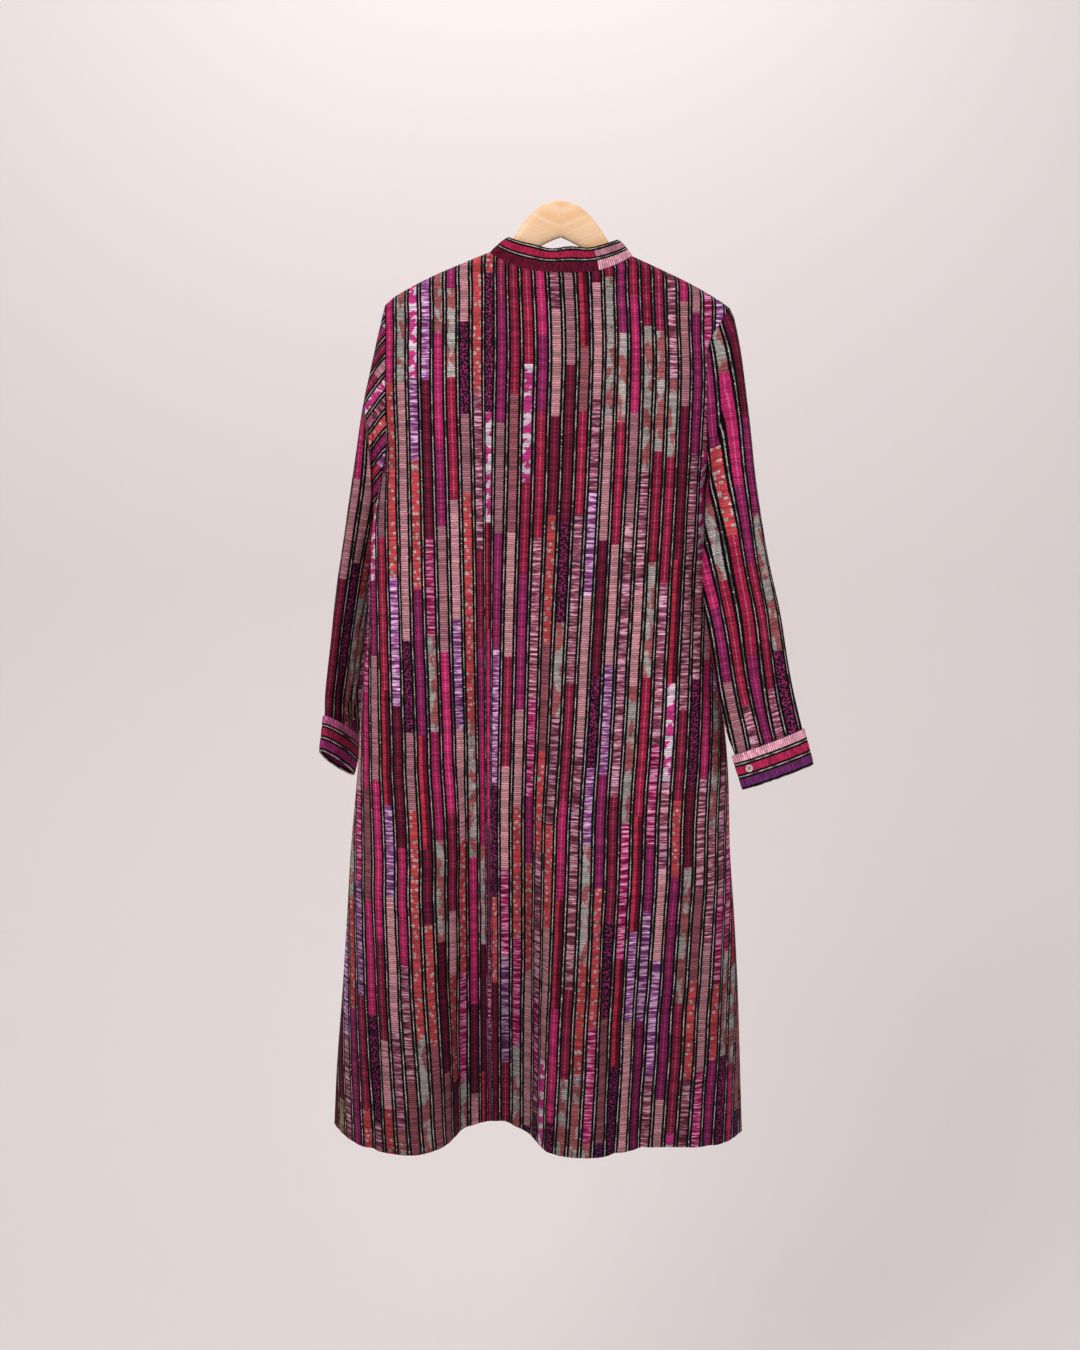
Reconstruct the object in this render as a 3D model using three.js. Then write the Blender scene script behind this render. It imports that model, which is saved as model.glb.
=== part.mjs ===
// A long-sleeved, band-collared, A-line tunic of striped handwoven cloth, hung on a wooden
// clothes hanger. Millimetres. +Z is up, +X is the right-hand side seen from behind the
// garment, -Y is its back and +Y its front. The origin is the top of the hanger's crown.
import * as THREE from "three";

// ---- driving dimensions -------------------------------------------------------------
const SEAM_GAP = 0.3; // clearance between two pieces that are sewn together
const CLOTH = 2; // wall of the quilted, pieced cloth
const BAND = 2.4; // wall of the doubled collar and cuffs
const TILT = 0.024; // the hanger and the shoulders drop this much per mm towards +X

const SHOULDER_TIP_LEFT = -205;
const SHOULDER_TIP_RIGHT = 198;
const HEM_LEVEL = -1121;
const HEM_CORNER_LIFT = { left: 7, right: -2 };
const UNDERARM = 0.2045; // share of the length from shoulder tip to hem
const ARMHOLE_HALF_DEPTH = 24; // the armhole is this far open to the back and to the front

const NECK_CENTRE = 0.6;
const NECK_HALF_WIDTH = 83.4;
const NECK_SIDE_LEVEL = -62;
const NECK = {
  back: { level: -86, depth: 38, power: 2.5 },
  front: { level: -130, depth: 46, power: 2 },
};

const COLLAR_TOP_CENTRE = 3;
const COLLAR_TOP_HALF_WIDTH = 64.5;
const COLLAR_SIDE_LEVEL = -44;
const COLLAR_TOP = {
  back: { level: -58, depth: 32, power: 2.5 },
  front: { level: -101, depth: 40, power: 2 },
};
const COLLAR_WAVE = 1.7; // the top edge dips and rises this much beside the centre back
const COLLAR_SWELL = 1.2;
const COLLAR_BASE_GAP = 0.7; // between the neckline and the collar's lower edge
const COLLAR_FRONT_GAP = 1;
const COLLAR_INNER_LIFT = 2; // its inner layer stops this much above the neckline

const ROLL_DEPTH = 18; // the cloth rolls over the hanger with this half depth
const ROLL_DROP = 16;
const SETTLE_DROP = 160; // below the roll the cloth reaches its full depth here
const NECK_SETTLE_DROP = 120;
const EDGE_SPREAD = 6; // how far the armhole's opening is felt in the cloth beside it
const EDGE_HOLD = 16; // how closely the armhole's own outline keeps to its edge
const FOLD_START = 0.1; // share of the length where the hem's folds begin to grow
const FOLD_GROWTH = 1.5;

// The shoulder line, level against distance from the centre, before the tilt.
const SHOULDER_LINE = [
  { out: 83.4, level: -62 },
  { out: 117, level: -76.4 },
  { out: 155, level: -93.6 },
  { out: 193, level: -114.9 },
  { out: 206, level: -126 },
];

// The armhole and side-seam edges, and how far back and front stand off the side seams.
const BODY = [
  { level: -121, left: -205, right: 198, back: 20, front: 20 },
  { level: -140, left: -204.5, right: 187, back: 26, front: 26 },
  { level: -157, left: -204, right: 176, back: 30, front: 30 },
  { level: -175, left: -204, right: 171.5, back: 34, front: 36 },
  { level: -246, left: -204.5, right: 171, back: 42, front: 44 },
  { level: -292, left: -205, right: 172.6, back: 45, front: 47 },
  { level: -349, left: -217, right: 174.3, back: 47, front: 48 },
  { level: -396, left: -225, right: 176, back: 48, front: 49 },
  { level: -515, left: -231, right: 184.5, back: 51, front: 52 },
  { level: -588, left: -238, right: 194.7, back: 53, front: 54 },
  { level: -673, left: -243.6, right: 203, back: 54, front: 56 },
  { level: -771, left: -253, right: 206.4, back: 56, front: 58 },
  { level: -845, left: -258, right: 212, back: 58, front: 60 },
  { level: -945, left: -265, right: 218, back: 60, front: 62 },
  { level: -1046, left: -273.4, right: 222, back: 62, front: 64 },
  { level: -1121, left: -277.5, right: 225, back: 62, front: 64 },
];

// How far the hem stands off the side seams: a row for each crest, flank and trough,
// from the left side seam (-1) to the right one (+1).
const HEM_FOLDS = {
  back: [
    { across: -1, depth: 0 },
    { across: -0.9, depth: 45 },
    { across: -0.78, depth: 72 },
    { across: -0.6, depth: 90 },
    { across: -0.46, depth: 66 },
    { across: -0.36, depth: 14 },
    { across: -0.23, depth: 5 },
    { across: -0.1, depth: 12 },
    { across: -0.03, depth: 36 },
    { across: 0.05, depth: 80 },
    { across: 0.22, depth: 97 },
    { across: 0.35, depth: 86 },
    { across: 0.5, depth: 63 },
    { across: 0.77, depth: 60 },
    { across: 0.91, depth: 40 },
    { across: 1, depth: 0 },
  ],
  front: [
    { across: -1, depth: 0 },
    { across: -0.9, depth: 38 },
    { across: -0.7, depth: 80 },
    { across: -0.52, depth: 66 },
    { across: -0.36, depth: 36 },
    { across: -0.2, depth: 44 },
    { across: -0.04, depth: 74 },
    { across: 0.14, depth: 82 },
    { across: 0.32, depth: 40 },
    { across: 0.47, depth: 28 },
    { across: 0.64, depth: 66 },
    { across: 0.82, depth: 72 },
    { across: 0.92, depth: 36 },
    { across: 1, depth: 0 },
  ],
};
const VALLEY_LIFT = { back: 13, front: 5 };
const VALLEY_PLACE = { back: -0.21, front: 0.42 };
const VALLEY_WIDTH = 0.16;

// Sections of a sleeve from the armhole (0) to the cuff's seam (1) and the cuff's rim (1.1):
// the outer and the inner edge of the flattened tube, its thickness, and how many degrees
// its back face is turned from -Y towards +X.
const SLEEVE_RIGHT = [
  { along: 0.05, outer: [204, -2, -136], inner: [178, -5, -326], thick: 48, turn: 0 },
  { along: 0.15, outer: [211, -7, -173], inner: [176, -18, -350], thick: 48, turn: 0 },
  { along: 0.3, outer: [220.5, -18, -246], inner: [169, -34, -394], thick: 46, turn: 0 },
  { along: 0.45, outer: [228.5, -32, -325], inner: [166, -47, -445], thick: 42, turn: 0 },
  { along: 0.6, outer: [240.5, -42, -406], inner: [172, -54, -501], thick: 37, turn: 0 },
  { along: 0.75, outer: [257.5, -50, -486], inner: [181, -58, -556], thick: 31, turn: 0 },
  { along: 0.9, outer: [272.5, -54, -571], inner: [194, -59, -616], thick: 25, turn: 0 },
  { along: 1, outer: [284, -54, -615], inner: [204, -58, -645], thick: 19, turn: 0 },
  { along: 1.1, outer: [296, -54, -658], inner: [217, -58, -686], thick: 18, turn: 0 },
];
const SLEEVE_LEFT = [
  { along: 0.05, outer: [-210, 2, -136], inner: [-214, 5, -326], thick: 47, turn: 2 },
  { along: 0.15, outer: [-219, 5, -173], inner: [-221, 20, -352], thick: 44, turn: 8 },
  { along: 0.3, outer: [-234, 9, -243], inner: [-229, 48, -402], thick: 38, turn: 22 },
  { along: 0.45, outer: [-244.5, 12, -325], inner: [-233, 78, -460], thick: 35, turn: 42 },
  { along: 0.6, outer: [-258, 15, -409], inner: [-238, 98, -521], thick: 32, turn: 56 },
  { along: 0.75, outer: [-271.5, 18, -501], inner: [-244, 104, -578], thick: 29, turn: 62 },
  { along: 0.9, outer: [-281.5, 20, -578], inner: [-247, 98, -628], thick: 25, turn: 62 },
  { along: 1, outer: [-284, 20, -610], inner: [-249, 88, -650], thick: 21, turn: 60 },
  { along: 1.1, outer: [-289, 20, -653], inner: [-259, 88, -693], thick: 20, turn: 60 },
];
const CUFF_RIM = 1.1;

// Soft folds on the sleeves: where they start and end along the sleeve, the angle round
// the tube at each end (0 outer edge, 90 back face, 180 inner edge), width and depth.
const SLEEVE_FOLDS = {
  right: [
    { from: 0.28, to: 0.98, angleFrom: 128, angleTo: 96, width: 20, depth: -7 },
    { from: 0.34, to: 0.9, angleFrom: 100, angleTo: 66, width: 17, depth: 4 },
    { from: 0.72, to: 1.04, angleFrom: 46, angleTo: 58, width: 15, depth: -4.5 },
    { from: 0.3, to: 0.96, angleFrom: 250, angleTo: 280, width: 22, depth: -6 },
  ],
  left: [
    { from: 0.1, to: 0.46, angleFrom: 76, angleTo: 120, width: 18, depth: -6 },
    { from: 0.5, to: 1.0, angleFrom: 118, angleTo: 92, width: 20, depth: -5 },
    { from: 0.7, to: 1.04, angleFrom: 40, angleTo: 62, width: 15, depth: -4 },
    { from: 0.34, to: 0.95, angleFrom: 255, angleTo: 285, width: 22, depth: -5 },
  ],
};

const CUFF_LAP = 1; // radians of the cuff's button lap
const CUFF_LAP_RISE = 3; // the upper layer lies this far out over the lower one
const CUFF_SEAM = 0.0012; // share of the sleeve's length between sleeve and cuff

const BUTTON_RADIUS = 4.4;
const BUTTON_THICKNESS = 2.2;
const BUTTON_CLEARANCE = 0.4;
const CUFF_BUTTON = { turn: 0.895, along: 1.048 }; // how far round the cuff and down the sleeve
const PLACKET_BUTTON_ROWS = [3, 7, 10, 13];

// The hanger's upper and lower edge and half thickness, before the tilt.
const HANGER = [
  { out: 0.15, top: 0, bottom: -43, half: 6.5 },
  { out: 7, top: -1.3, bottom: -45.6, half: 6.5 },
  { out: 13, top: -3.6, bottom: -48.4, half: 6.5 },
  { out: 20, top: -5.7, bottom: -52, half: 6.5 },
  { out: 30, top: -12.7, bottom: -57.5, half: 6.6 },
  { out: 42, top: -25.4, bottom: -65, half: 6.5 },
  { out: 50, top: -37, bottom: -72, half: 6.4 },
  { out: 57, top: -48, bottom: -78, half: 6.2 },
  { out: 66, top: -60.5, bottom: -86, half: 5.8 },
  { out: 84, top: -73, bottom: -97, half: 6 },
  { out: 117, top: -84, bottom: -109, half: 8 },
  { out: 150, top: -97.5, bottom: -122, half: 9.2 },
  { out: 174, top: -110, bottom: -132, half: 8.6 },
  { out: 180, top: -114, bottom: -133, half: 7 },
  { out: 182.5, top: -118, bottom: -130, half: 4 },
];
const HANGER_ROUNDNESS = 0.62; // exponent of the section's superellipse

// ---- resolution ---------------------------------------------------------------------
const SHOULDER_COLUMNS = 8;
const NECK_COLUMNS = 14;
const PANEL_COLUMNS = 2 * SHOULDER_COLUMNS + NECK_COLUMNS;
const RING_STEPS = 24;
const ARMHOLE_ROWS = RING_STEPS / 2;
const SKIRT_ROWS = 13;
const SLEEVE_STATIONS = [
  0.03, 0.07, 0.12, 0.18, 0.24, 0.3, 0.37, 0.44, 0.51, 0.58, 0.65, 0.72, 0.79, 0.85, 0.9, 0.95,
];
const SLEEVE_END = 1;
const CUFF_STEPS = 26;
const CUFF_ROWS = 3;
const COLLAR_ROWS = 3;
const HANGER_SECTION_POINTS = 14;
const BUTTON_SIDES = 12;
const HEM_SAMPLES = 240;

// The pieced cloth of a panel or a sleeve is made in sections, a seam's gap apart: the rows
// and columns of its grid where one section ends and the next begins, and their names.
const PANEL_SECTIONS = {
  back: { rows: [13, 17, 21], names: ["chest", "waist", "hip", "hem"] },
  front: { rows: [14, 19], names: ["chest", "waist", "hem"] },
};
const PANEL_HALVES = { columns: [PANEL_COLUMNS / 2], names: ["left", "right"] };
const SLEEVE_SECTIONS = { rows: [9], names: ["upper", "lower"] };

// ---- small mathematics --------------------------------------------------------------
const clamp01 = (value) => Math.min(1, Math.max(0, value));
const mix = (a, b, share) => a + (b - a) * share;
const smooth = (value) => {
  const t = clamp01(value);
  return t * t * (3 - 2 * t);
};
const quarterRound = (value) => Math.sqrt(1 - (1 - clamp01(value)) ** 2);
const bell = (value) => Math.exp(-value * value);

// A smooth curve through the rows of a table: row[x] against row[y].
function curve(rows, x, y) {
  const slope = rows.map((row, i) => {
    const before = rows[Math.max(0, i - 1)];
    const after = rows[Math.min(rows.length - 1, i + 1)];
    return (after[y] - before[y]) / (after[x] - before[x]);
  });
  const rising = rows[rows.length - 1][x] > rows[0][x];
  return (value) => {
    let i = 0;
    while (i < rows.length - 2 && (rising ? value > rows[i + 1][x] : value < rows[i + 1][x])) {
      i += 1;
    }
    const span = rows[i + 1][x] - rows[i][x];
    const t = clamp01((value - rows[i][x]) / span);
    const a = (2 * t ** 3 - 3 * t ** 2 + 1) * rows[i][y];
    const b = (t ** 3 - 2 * t ** 2 + t) * span * slope[i];
    const c = (3 * t ** 2 - 2 * t ** 3) * rows[i + 1][y];
    const d = (t ** 3 - t ** 2) * span * slope[i + 1];
    return a + b + c + d;
  };
}

// ---- body panels --------------------------------------------------------------------
const FACE_SIGN = { back: -1, front: 1 };
const shoulderLevel = curve(SHOULDER_LINE, "out", "level");
const edgeLeft = curve(BODY, "level", "left");
const edgeRight = curve(BODY, "level", "right");
const bodyDepth = {
  back: curve(BODY, "level", "back"),
  front: curve(BODY, "level", "front"),
};
const hemDepth = {
  back: curve(HEM_FOLDS.back, "across", "depth"),
  front: curve(HEM_FOLDS.front, "across", "depth"),
};

// The panel's upper edge: the shoulder line, and the neckline between its two points.
function topLevel(face, x) {
  const fromNeck = Math.abs(x - NECK_CENTRE) / NECK_HALF_WIDTH;
  const neck = NECK[face];
  const level =
    fromNeck < 1
      ? neck.level + (NECK_SIDE_LEVEL - neck.level) * fromNeck ** neck.power
      : shoulderLevel(Math.abs(x));
  return level - TILT * x;
}

function neckShare(x) {
  const fromNeck = Math.abs(x - NECK_CENTRE) / NECK_HALF_WIDTH;
  return fromNeck < 1 ? Math.sqrt(1 - fromNeck ** 2) : 0;
}

function hemLevel(face, across) {
  const valley = VALLEY_LIFT[face] * bell((across - VALLEY_PLACE[face]) / VALLEY_WIDTH);
  const corner = across < 0 ? HEM_CORNER_LIFT.left : HEM_CORNER_LIFT.right;
  return HEM_LEVEL + corner * Math.abs(across) ** 8 + valley;
}

// The edge's own depth: the armhole opens to an ellipse, and the side seam has none.
function armholeDepth(down) {
  const fromMiddle = 1 - (2 * down) / UNDERARM;
  return down < UNDERARM ? ARMHOLE_HALF_DEPTH * Math.sqrt(1 - fromMiddle ** 2) : 0;
}

// The same opening as it is felt in the cloth beside the armhole, fading out below it.
function armholeSwell(down) {
  const opened = quarterRound((2 * down) / UNDERARM);
  return ARMHOLE_HALF_DEPTH * opened * (1 - smooth(down / UNDERARM - 0.5));
}

// A point of a body panel. across: -1 left edge, +1 right edge. down: 0 top, 1 hem.
// acrossTop is where this line of cloth starts on the upper edge.
function panelPoint(face, across, down, acrossTop) {
  const xTop = mix(SHOULDER_TIP_LEFT, SHOULDER_TIP_RIGHT, (acrossTop + 1) / 2);
  const top = topLevel(face, xTop);
  const level = mix(top, hemLevel(face, across), down);
  const tip = mix(topLevel(face, SHOULDER_TIP_LEFT), topLevel(face, SHOULDER_TIP_RIGHT), 0.5);
  const edge = mix(tip, HEM_LEVEL, down);
  const x = mix(edgeLeft(edge), edgeRight(edge), (across + 1) / 2);

  const full = bodyDepth[face](edge);
  const drop = top - level;
  const settled = ROLL_DEPTH + Math.max(0, full - ROLL_DEPTH) * smooth(drop / SETTLE_DROP);
  const rolled = settled * quarterRound(drop / ROLL_DROP);
  const fromAxis = Math.abs(across);
  const side = mix(armholeSwell(down), armholeDepth(down), fromAxis ** EDGE_HOLD);
  const belowArm = smooth((down - UNDERARM * 0.5) / UNDERARM);
  const flatness = (1 - fromAxis ** mix(6, 4.5, belowArm)) ** mix(1, 0.5, belowArm);
  const hung = rolled * flatness + side * fromAxis ** EDGE_SPREAD;

  const share = neckShare(xTop);
  const neckDepth = NECK[face].depth * share;
  const fromNeck = mix(neckDepth, full * flatness, smooth(drop / NECK_SETTLE_DROP));
  const body = mix(hung, fromNeck, share);

  const growth = clamp01((down - FOLD_START) / (1 - FOLD_START)) ** FOLD_GROWTH;
  const depth = mix(body, hemDepth[face](across), growth);
  return new THREE.Vector3(x, FACE_SIGN[face] * (SEAM_GAP / 2 + Math.max(0, depth)), level);
}

// Columns at the upper edge: even along the shoulders, evenly turned round the neck.
function topColumns() {
  const toAcross = (x) =>
    (2 * (x - SHOULDER_TIP_LEFT)) / (SHOULDER_TIP_RIGHT - SHOULDER_TIP_LEFT) - 1;
  const columns = [];
  const neckLeft = toAcross(NECK_CENTRE - NECK_HALF_WIDTH);
  const neckRight = toAcross(NECK_CENTRE + NECK_HALF_WIDTH);
  for (let i = 0; i < SHOULDER_COLUMNS; i += 1) {
    columns.push(mix(-1, neckLeft, i / SHOULDER_COLUMNS));
  }
  for (let i = 0; i <= NECK_COLUMNS; i += 1) {
    const x = NECK_CENTRE - NECK_HALF_WIDTH * Math.cos((Math.PI * i) / NECK_COLUMNS);
    columns.push(toAcross(x));
  }
  for (let i = 1; i <= SHOULDER_COLUMNS; i += 1) {
    columns.push(mix(neckRight, 1, i / SHOULDER_COLUMNS));
  }
  return columns;
}

// Columns at the hem: evenly spaced along the folded edge.
function hemColumns(face) {
  const places = [{ across: -1, length: 0 }];
  let before = panelPoint(face, -1, 1, -1);
  for (let i = 1; i <= HEM_SAMPLES; i += 1) {
    const across = -1 + (2 * i) / HEM_SAMPLES;
    const point = panelPoint(face, across, 1, across);
    const length = places[i - 1].length + point.distanceTo(before);
    places.push({ across, length });
    before = point;
  }
  const total = places[HEM_SAMPLES].length;
  const columns = [];
  let i = 0;
  for (let column = 0; column <= PANEL_COLUMNS; column += 1) {
    const wanted = (total * column) / PANEL_COLUMNS;
    while (i < HEM_SAMPLES - 1 && places[i + 1].length < wanted) {
      i += 1;
    }
    const step = places[i + 1].length - places[i].length;
    const share = clamp01((wanted - places[i].length) / step);
    columns.push(mix(places[i].across, places[i + 1].across, share));
  }
  return columns;
}

// Rows: down the armhole at even turns of its ellipse, then evenly down the skirt.
function panelRows() {
  const rows = [];
  for (let i = 0; i <= ARMHOLE_ROWS; i += 1) {
    rows.push((UNDERARM * (1 - Math.cos((Math.PI * i) / ARMHOLE_ROWS))) / 2);
  }
  for (let i = 1; i <= SKIRT_ROWS; i += 1) {
    rows.push(mix(UNDERARM, 1, i / SKIRT_ROWS));
  }
  return rows;
}

function panelGrid(face) {
  const top = topColumns();
  const hem = hemColumns(face);
  return panelRows().map((down) =>
    top.map((acrossTop, column) => {
      const across = mix(acrossTop, hem[column], smooth(down));
      return panelPoint(face, across, down, acrossTop);
    }),
  );
}

// The inside of an open wall: each point moved along its normal by the wall's thickness.
function offsetGrid(grid, distance) {
  const lastRow = grid.length - 1;
  const lastColumn = grid[0].length - 1;
  return grid.map((row, r) =>
    row.map((point, c) => {
      const across = new THREE.Vector3().subVectors(
        grid[r][Math.min(c + 1, lastColumn)],
        grid[r][Math.max(c - 1, 0)],
      );
      const along = new THREE.Vector3().subVectors(
        grid[Math.min(r + 1, lastRow)][c],
        grid[Math.max(r - 1, 0)][c],
      );
      const normal = new THREE.Vector3().crossVectors(across, along).normalize();
      return point.clone().addScaledVector(normal, distance);
    }),
  );
}

// Keeps the cut edges of a panel on their own side of each seam.
function trimSeams(face, outer, inner) {
  const sign = FACE_SIGN[face];
  const lastColumn = outer[0].length - 1;
  for (let c = SHOULDER_COLUMNS; c <= SHOULDER_COLUMNS + NECK_COLUMNS; c += 1) {
    const point = outer[0][c];
    const share = neckShare(point.x);
    const depth = sign * point.y - CLOTH * share;
    inner[0][c].set(point.x, sign * depth, point.z - CLOTH * (1 - share));
  }
  outer.forEach((row, r) => {
    row.forEach((point, c) => {
      const inside = inner[r][c];
      inside.y = sign * Math.max(SEAM_GAP / 2, sign * inside.y);
      const atEdge = c === 0 || c === lastColumn;
      if (atEdge && r < ARMHOLE_ROWS) {
        inside.x = point.x;
      }
      if (atEdge && r >= ARMHOLE_ROWS) {
        inside.x = point.x + (c === 0 ? CLOTH : -CLOTH);
        inside.y = point.y;
        inside.z = point.z;
      }
    });
  });
}

function panelWall(face) {
  const outer = panelGrid(face);
  const inward = -FACE_SIGN[face] * CLOTH;
  const inner = offsetGrid(outer, inward);
  trimSeams(face, outer, inner);
  return { outer, inner };
}

// ---- closed meshes from grids -------------------------------------------------------
function geometryFrom(points, triangles) {
  const a = new THREE.Vector3();
  const b = new THREE.Vector3();
  let volume = 0;
  triangles.forEach(([i, j, k]) => {
    a.crossVectors(points[j], points[k]);
    b.copy(points[i]);
    volume += b.dot(a);
  });
  const ordered = volume < 0 ? triangles.map(([i, j, k]) => [i, k, j]) : triangles;
  const geometry = new THREE.BufferGeometry();
  const position = points.flatMap((point) => [point.x, point.y, point.z]);
  geometry.setAttribute("position", new THREE.Float32BufferAttribute(position, 3));
  geometry.setIndex(ordered.flat());
  geometry.computeVertexNormals();
  return geometry;
}

// The part of a grid from one break to the next, drawn back from each break by half a gap.
function gridSection(grid, rows, columns) {
  const [top, bottom] = rows;
  const [left, right] = columns;
  const drawn = (r, c, towardR, towardC) => {
    const toward = new THREE.Vector3().subVectors(grid[towardR][towardC], grid[r][c]);
    return toward.setLength(SEAM_GAP / 2);
  };
  const section = [];
  for (let r = top; r <= bottom; r += 1) {
    const row = [];
    for (let c = left; c <= right; c += 1) {
      const point = grid[r][c].clone();
      if (r === top && r > 0) {
        point.add(drawn(r, c, r + 1, c));
      }
      if (r === bottom && r < grid.length - 1) {
        point.add(drawn(r, c, r - 1, c));
      }
      if (c === left && c > 0) {
        point.add(drawn(r, c, r, c + 1));
      }
      if (c === right && c < grid[0].length - 1) {
        point.add(drawn(r, c, r, c - 1));
      }
      row.push(point);
    }
    section.push(row);
  }
  return section;
}

// Spans between breaks: [0, 4, 9] gives [0, 4] and [4, 9].
function spans(breaks, last) {
  const ends = [...breaks, last];
  return ends.map((end, i) => [i === 0 ? 0 : ends[i - 1], end]);
}

// The walls between two grids, one for each section, down the rows and then across.
function sectionWalls({ outer, inner }, breakRows, breakColumns, wrapped) {
  const rowSpans = spans(breakRows, outer.length - 1);
  const columnSpans = spans(breakColumns, outer[0].length - 1);
  return rowSpans.flatMap((rows) =>
    columnSpans.map((columns) =>
      wallGeometry(
        gridSection(outer, rows, columns),
        gridSection(inner, rows, columns),
        wrapped,
      ),
    ),
  );
}

// A wall between two grids of the same size. A wrapped wall closes round its columns.
function wallGeometry(outer, inner, wrapped) {
  const rows = outer.length;
  const columns = outer[0].length;
  const points = [...outer.flat(), ...inner.flat()];
  const out = (r, c) => r * columns + (c % columns);
  const within = (r, c) => rows * columns + out(r, c);
  const triangles = [];
  const quad = (a, b, c, d) => triangles.push([a, b, c], [a, c, d]);
  const lastColumn = wrapped ? columns : columns - 1;
  for (let r = 0; r < rows - 1; r += 1) {
    for (let c = 0; c < lastColumn; c += 1) {
      quad(out(r, c), out(r, c + 1), out(r + 1, c + 1), out(r + 1, c));
      quad(within(r, c), within(r + 1, c), within(r + 1, c + 1), within(r, c + 1));
    }
  }
  for (let c = 0; c < lastColumn; c += 1) {
    quad(out(0, c + 1), out(0, c), within(0, c), within(0, c + 1));
    quad(out(rows - 1, c), out(rows - 1, c + 1), within(rows - 1, c + 1), within(rows - 1, c));
  }
  if (!wrapped) {
    for (let r = 0; r < rows - 1; r += 1) {
      quad(out(r, 0), out(r + 1, 0), within(r + 1, 0), within(r, 0));
      quad(out(r + 1, columns - 1), out(r, columns - 1), within(r, columns - 1),
        within(r + 1, columns - 1));
    }
  }
  return geometryFrom(points, triangles);
}

// A solid bar through a row of closed sections, capped at both ends.
function barGeometry(sections) {
  const count = sections[0].length;
  const points = sections.flat();
  const triangles = [];
  for (let s = 0; s < sections.length - 1; s += 1) {
    for (let i = 0; i < count; i += 1) {
      const next = (i + 1) % count;
      const a = s * count + i;
      const b = s * count + next;
      triangles.push([a, b, b + count], [a, b + count, a + count]);
    }
  }
  const last = (sections.length - 1) * count;
  for (let i = 1; i < count - 1; i += 1) {
    triangles.push([0, i + 1, i], [last, last + i, last + i + 1]);
  }
  return geometryFrom(points, triangles);
}

// ---- sleeves and cuffs --------------------------------------------------------------
const SIDES = {
  left: { table: SLEEVE_LEFT, edge: -1, folds: SLEEVE_FOLDS.left, lap: -1 },
  right: { table: SLEEVE_RIGHT, edge: 1, folds: SLEEVE_FOLDS.right, lap: 1 },
};

// The frame of a sleeve's section: its centre, its long half axis and its short one.
function sleeveFrame(side) {
  const rows = SIDES[side].table.map((row) => ({
    along: row.along,
    outerX: row.outer[0],
    outerY: row.outer[1],
    outerZ: row.outer[2],
    innerX: row.inner[0],
    innerY: row.inner[1],
    innerZ: row.inner[2],
    thick: row.thick,
    turn: row.turn,
  }));
  const read = (name) => curve(rows, "along", name);
  const outer = ["outerX", "outerY", "outerZ"].map(read);
  const inner = ["innerX", "innerY", "innerZ"].map(read);
  const thick = read("thick");
  const turn = read("turn");
  return (along) => {
    const high = new THREE.Vector3(...outer.map((at) => at(along)));
    const low = new THREE.Vector3(...inner.map((at) => at(along)));
    const centre = new THREE.Vector3().addVectors(high, low).multiplyScalar(0.5);
    const long = new THREE.Vector3().subVectors(high, low).multiplyScalar(0.5);
    const turned = THREE.MathUtils.degToRad(turn(along));
    const short = new THREE.Vector3(Math.sin(turned), -Math.cos(turned), 0);
    const axis = long.clone().normalize();
    short.addScaledVector(axis, -short.dot(axis)).normalize();
    return { centre, axis, halfLong: long.length(), short, halfShort: thick(along) / 2 };
  };
}

// How far the soft folds move a point of a sleeve in or out.
function sleeveFold(side, along, angle) {
  const degrees = THREE.MathUtils.radToDeg(angle);
  return SIDES[side].folds.reduce((sum, fold) => {
    const run = (along - fold.from) / (fold.to - fold.from);
    if (run <= 0 || run >= 1) {
      return sum;
    }
    const crest = mix(fold.angleFrom, fold.angleTo, run);
    const fade = Math.sin(Math.PI * run) ** 0.7;
    return sum + fold.depth * fade * bell((degrees - crest) / fold.width);
  }, 0);
}

// A point of the tube at an angle round its section, moved in by inset.
function tubePoint(frame, angle, inset) {
  return frame.centre
    .clone()
    .addScaledVector(frame.axis, (frame.halfLong - inset) * Math.cos(angle))
    .addScaledVector(frame.short, (frame.halfShort - inset) * Math.sin(angle));
}

function ringAngle(step) {
  return (2 * Math.PI * step) / RING_STEPS;
}

// The sleeve's first ring lies along the armhole edges of the two body panels.
function armholeRing(side, inset) {
  const { edge } = SIDES[side];
  const ring = [];
  for (let step = 0; step < RING_STEPS; step += 1) {
    const face = step <= RING_STEPS / 2 ? "back" : "front";
    const row = step <= RING_STEPS / 2 ? step : RING_STEPS - step;
    const point = panelPoint(face, edge, panelRows()[row], edge);
    const angle = ringAngle(step);
    point.x += edge * SEAM_GAP * 2;
    point.y += inset * Math.sin(angle);
    point.z -= inset * Math.cos(angle);
    ring.push(point);
  }
  return ring;
}

function sleeveRing(side, along, inset) {
  const frame = sleeveFrame(side)(along);
  const ring = [];
  for (let step = 0; step < RING_STEPS; step += 1) {
    const angle = ringAngle(step);
    ring.push(tubePoint(frame, angle, inset - sleeveFold(side, along, angle)));
  }
  return ring;
}

function sleeveWall(side) {
  const stations = [...SLEEVE_STATIONS, SLEEVE_END];
  const rings = (inset) => [
    armholeRing(side, inset),
    ...stations.map((along) => sleeveRing(side, along, inset)),
  ];
  return { outer: rings(0), inner: rings(CLOTH) };
}

// The cuff is a band wound once round the wrist with its ends lapped at the inner edge.
// turn: 0 at the hidden end, 1 at the end that lies on top.
function cuffPoint(side, turn, along, inset) {
  const { lap } = SIDES[side];
  const sweep = 2 * Math.PI + CUFF_LAP;
  const rise = (CUFF_LAP_RISE * turn * sweep) / (2 * Math.PI);
  const angle = lap * (Math.PI - CUFF_LAP + turn * sweep - 0.05);
  return tubePoint(sleeveFrame(side)(along), angle, inset - rise);
}

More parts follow.
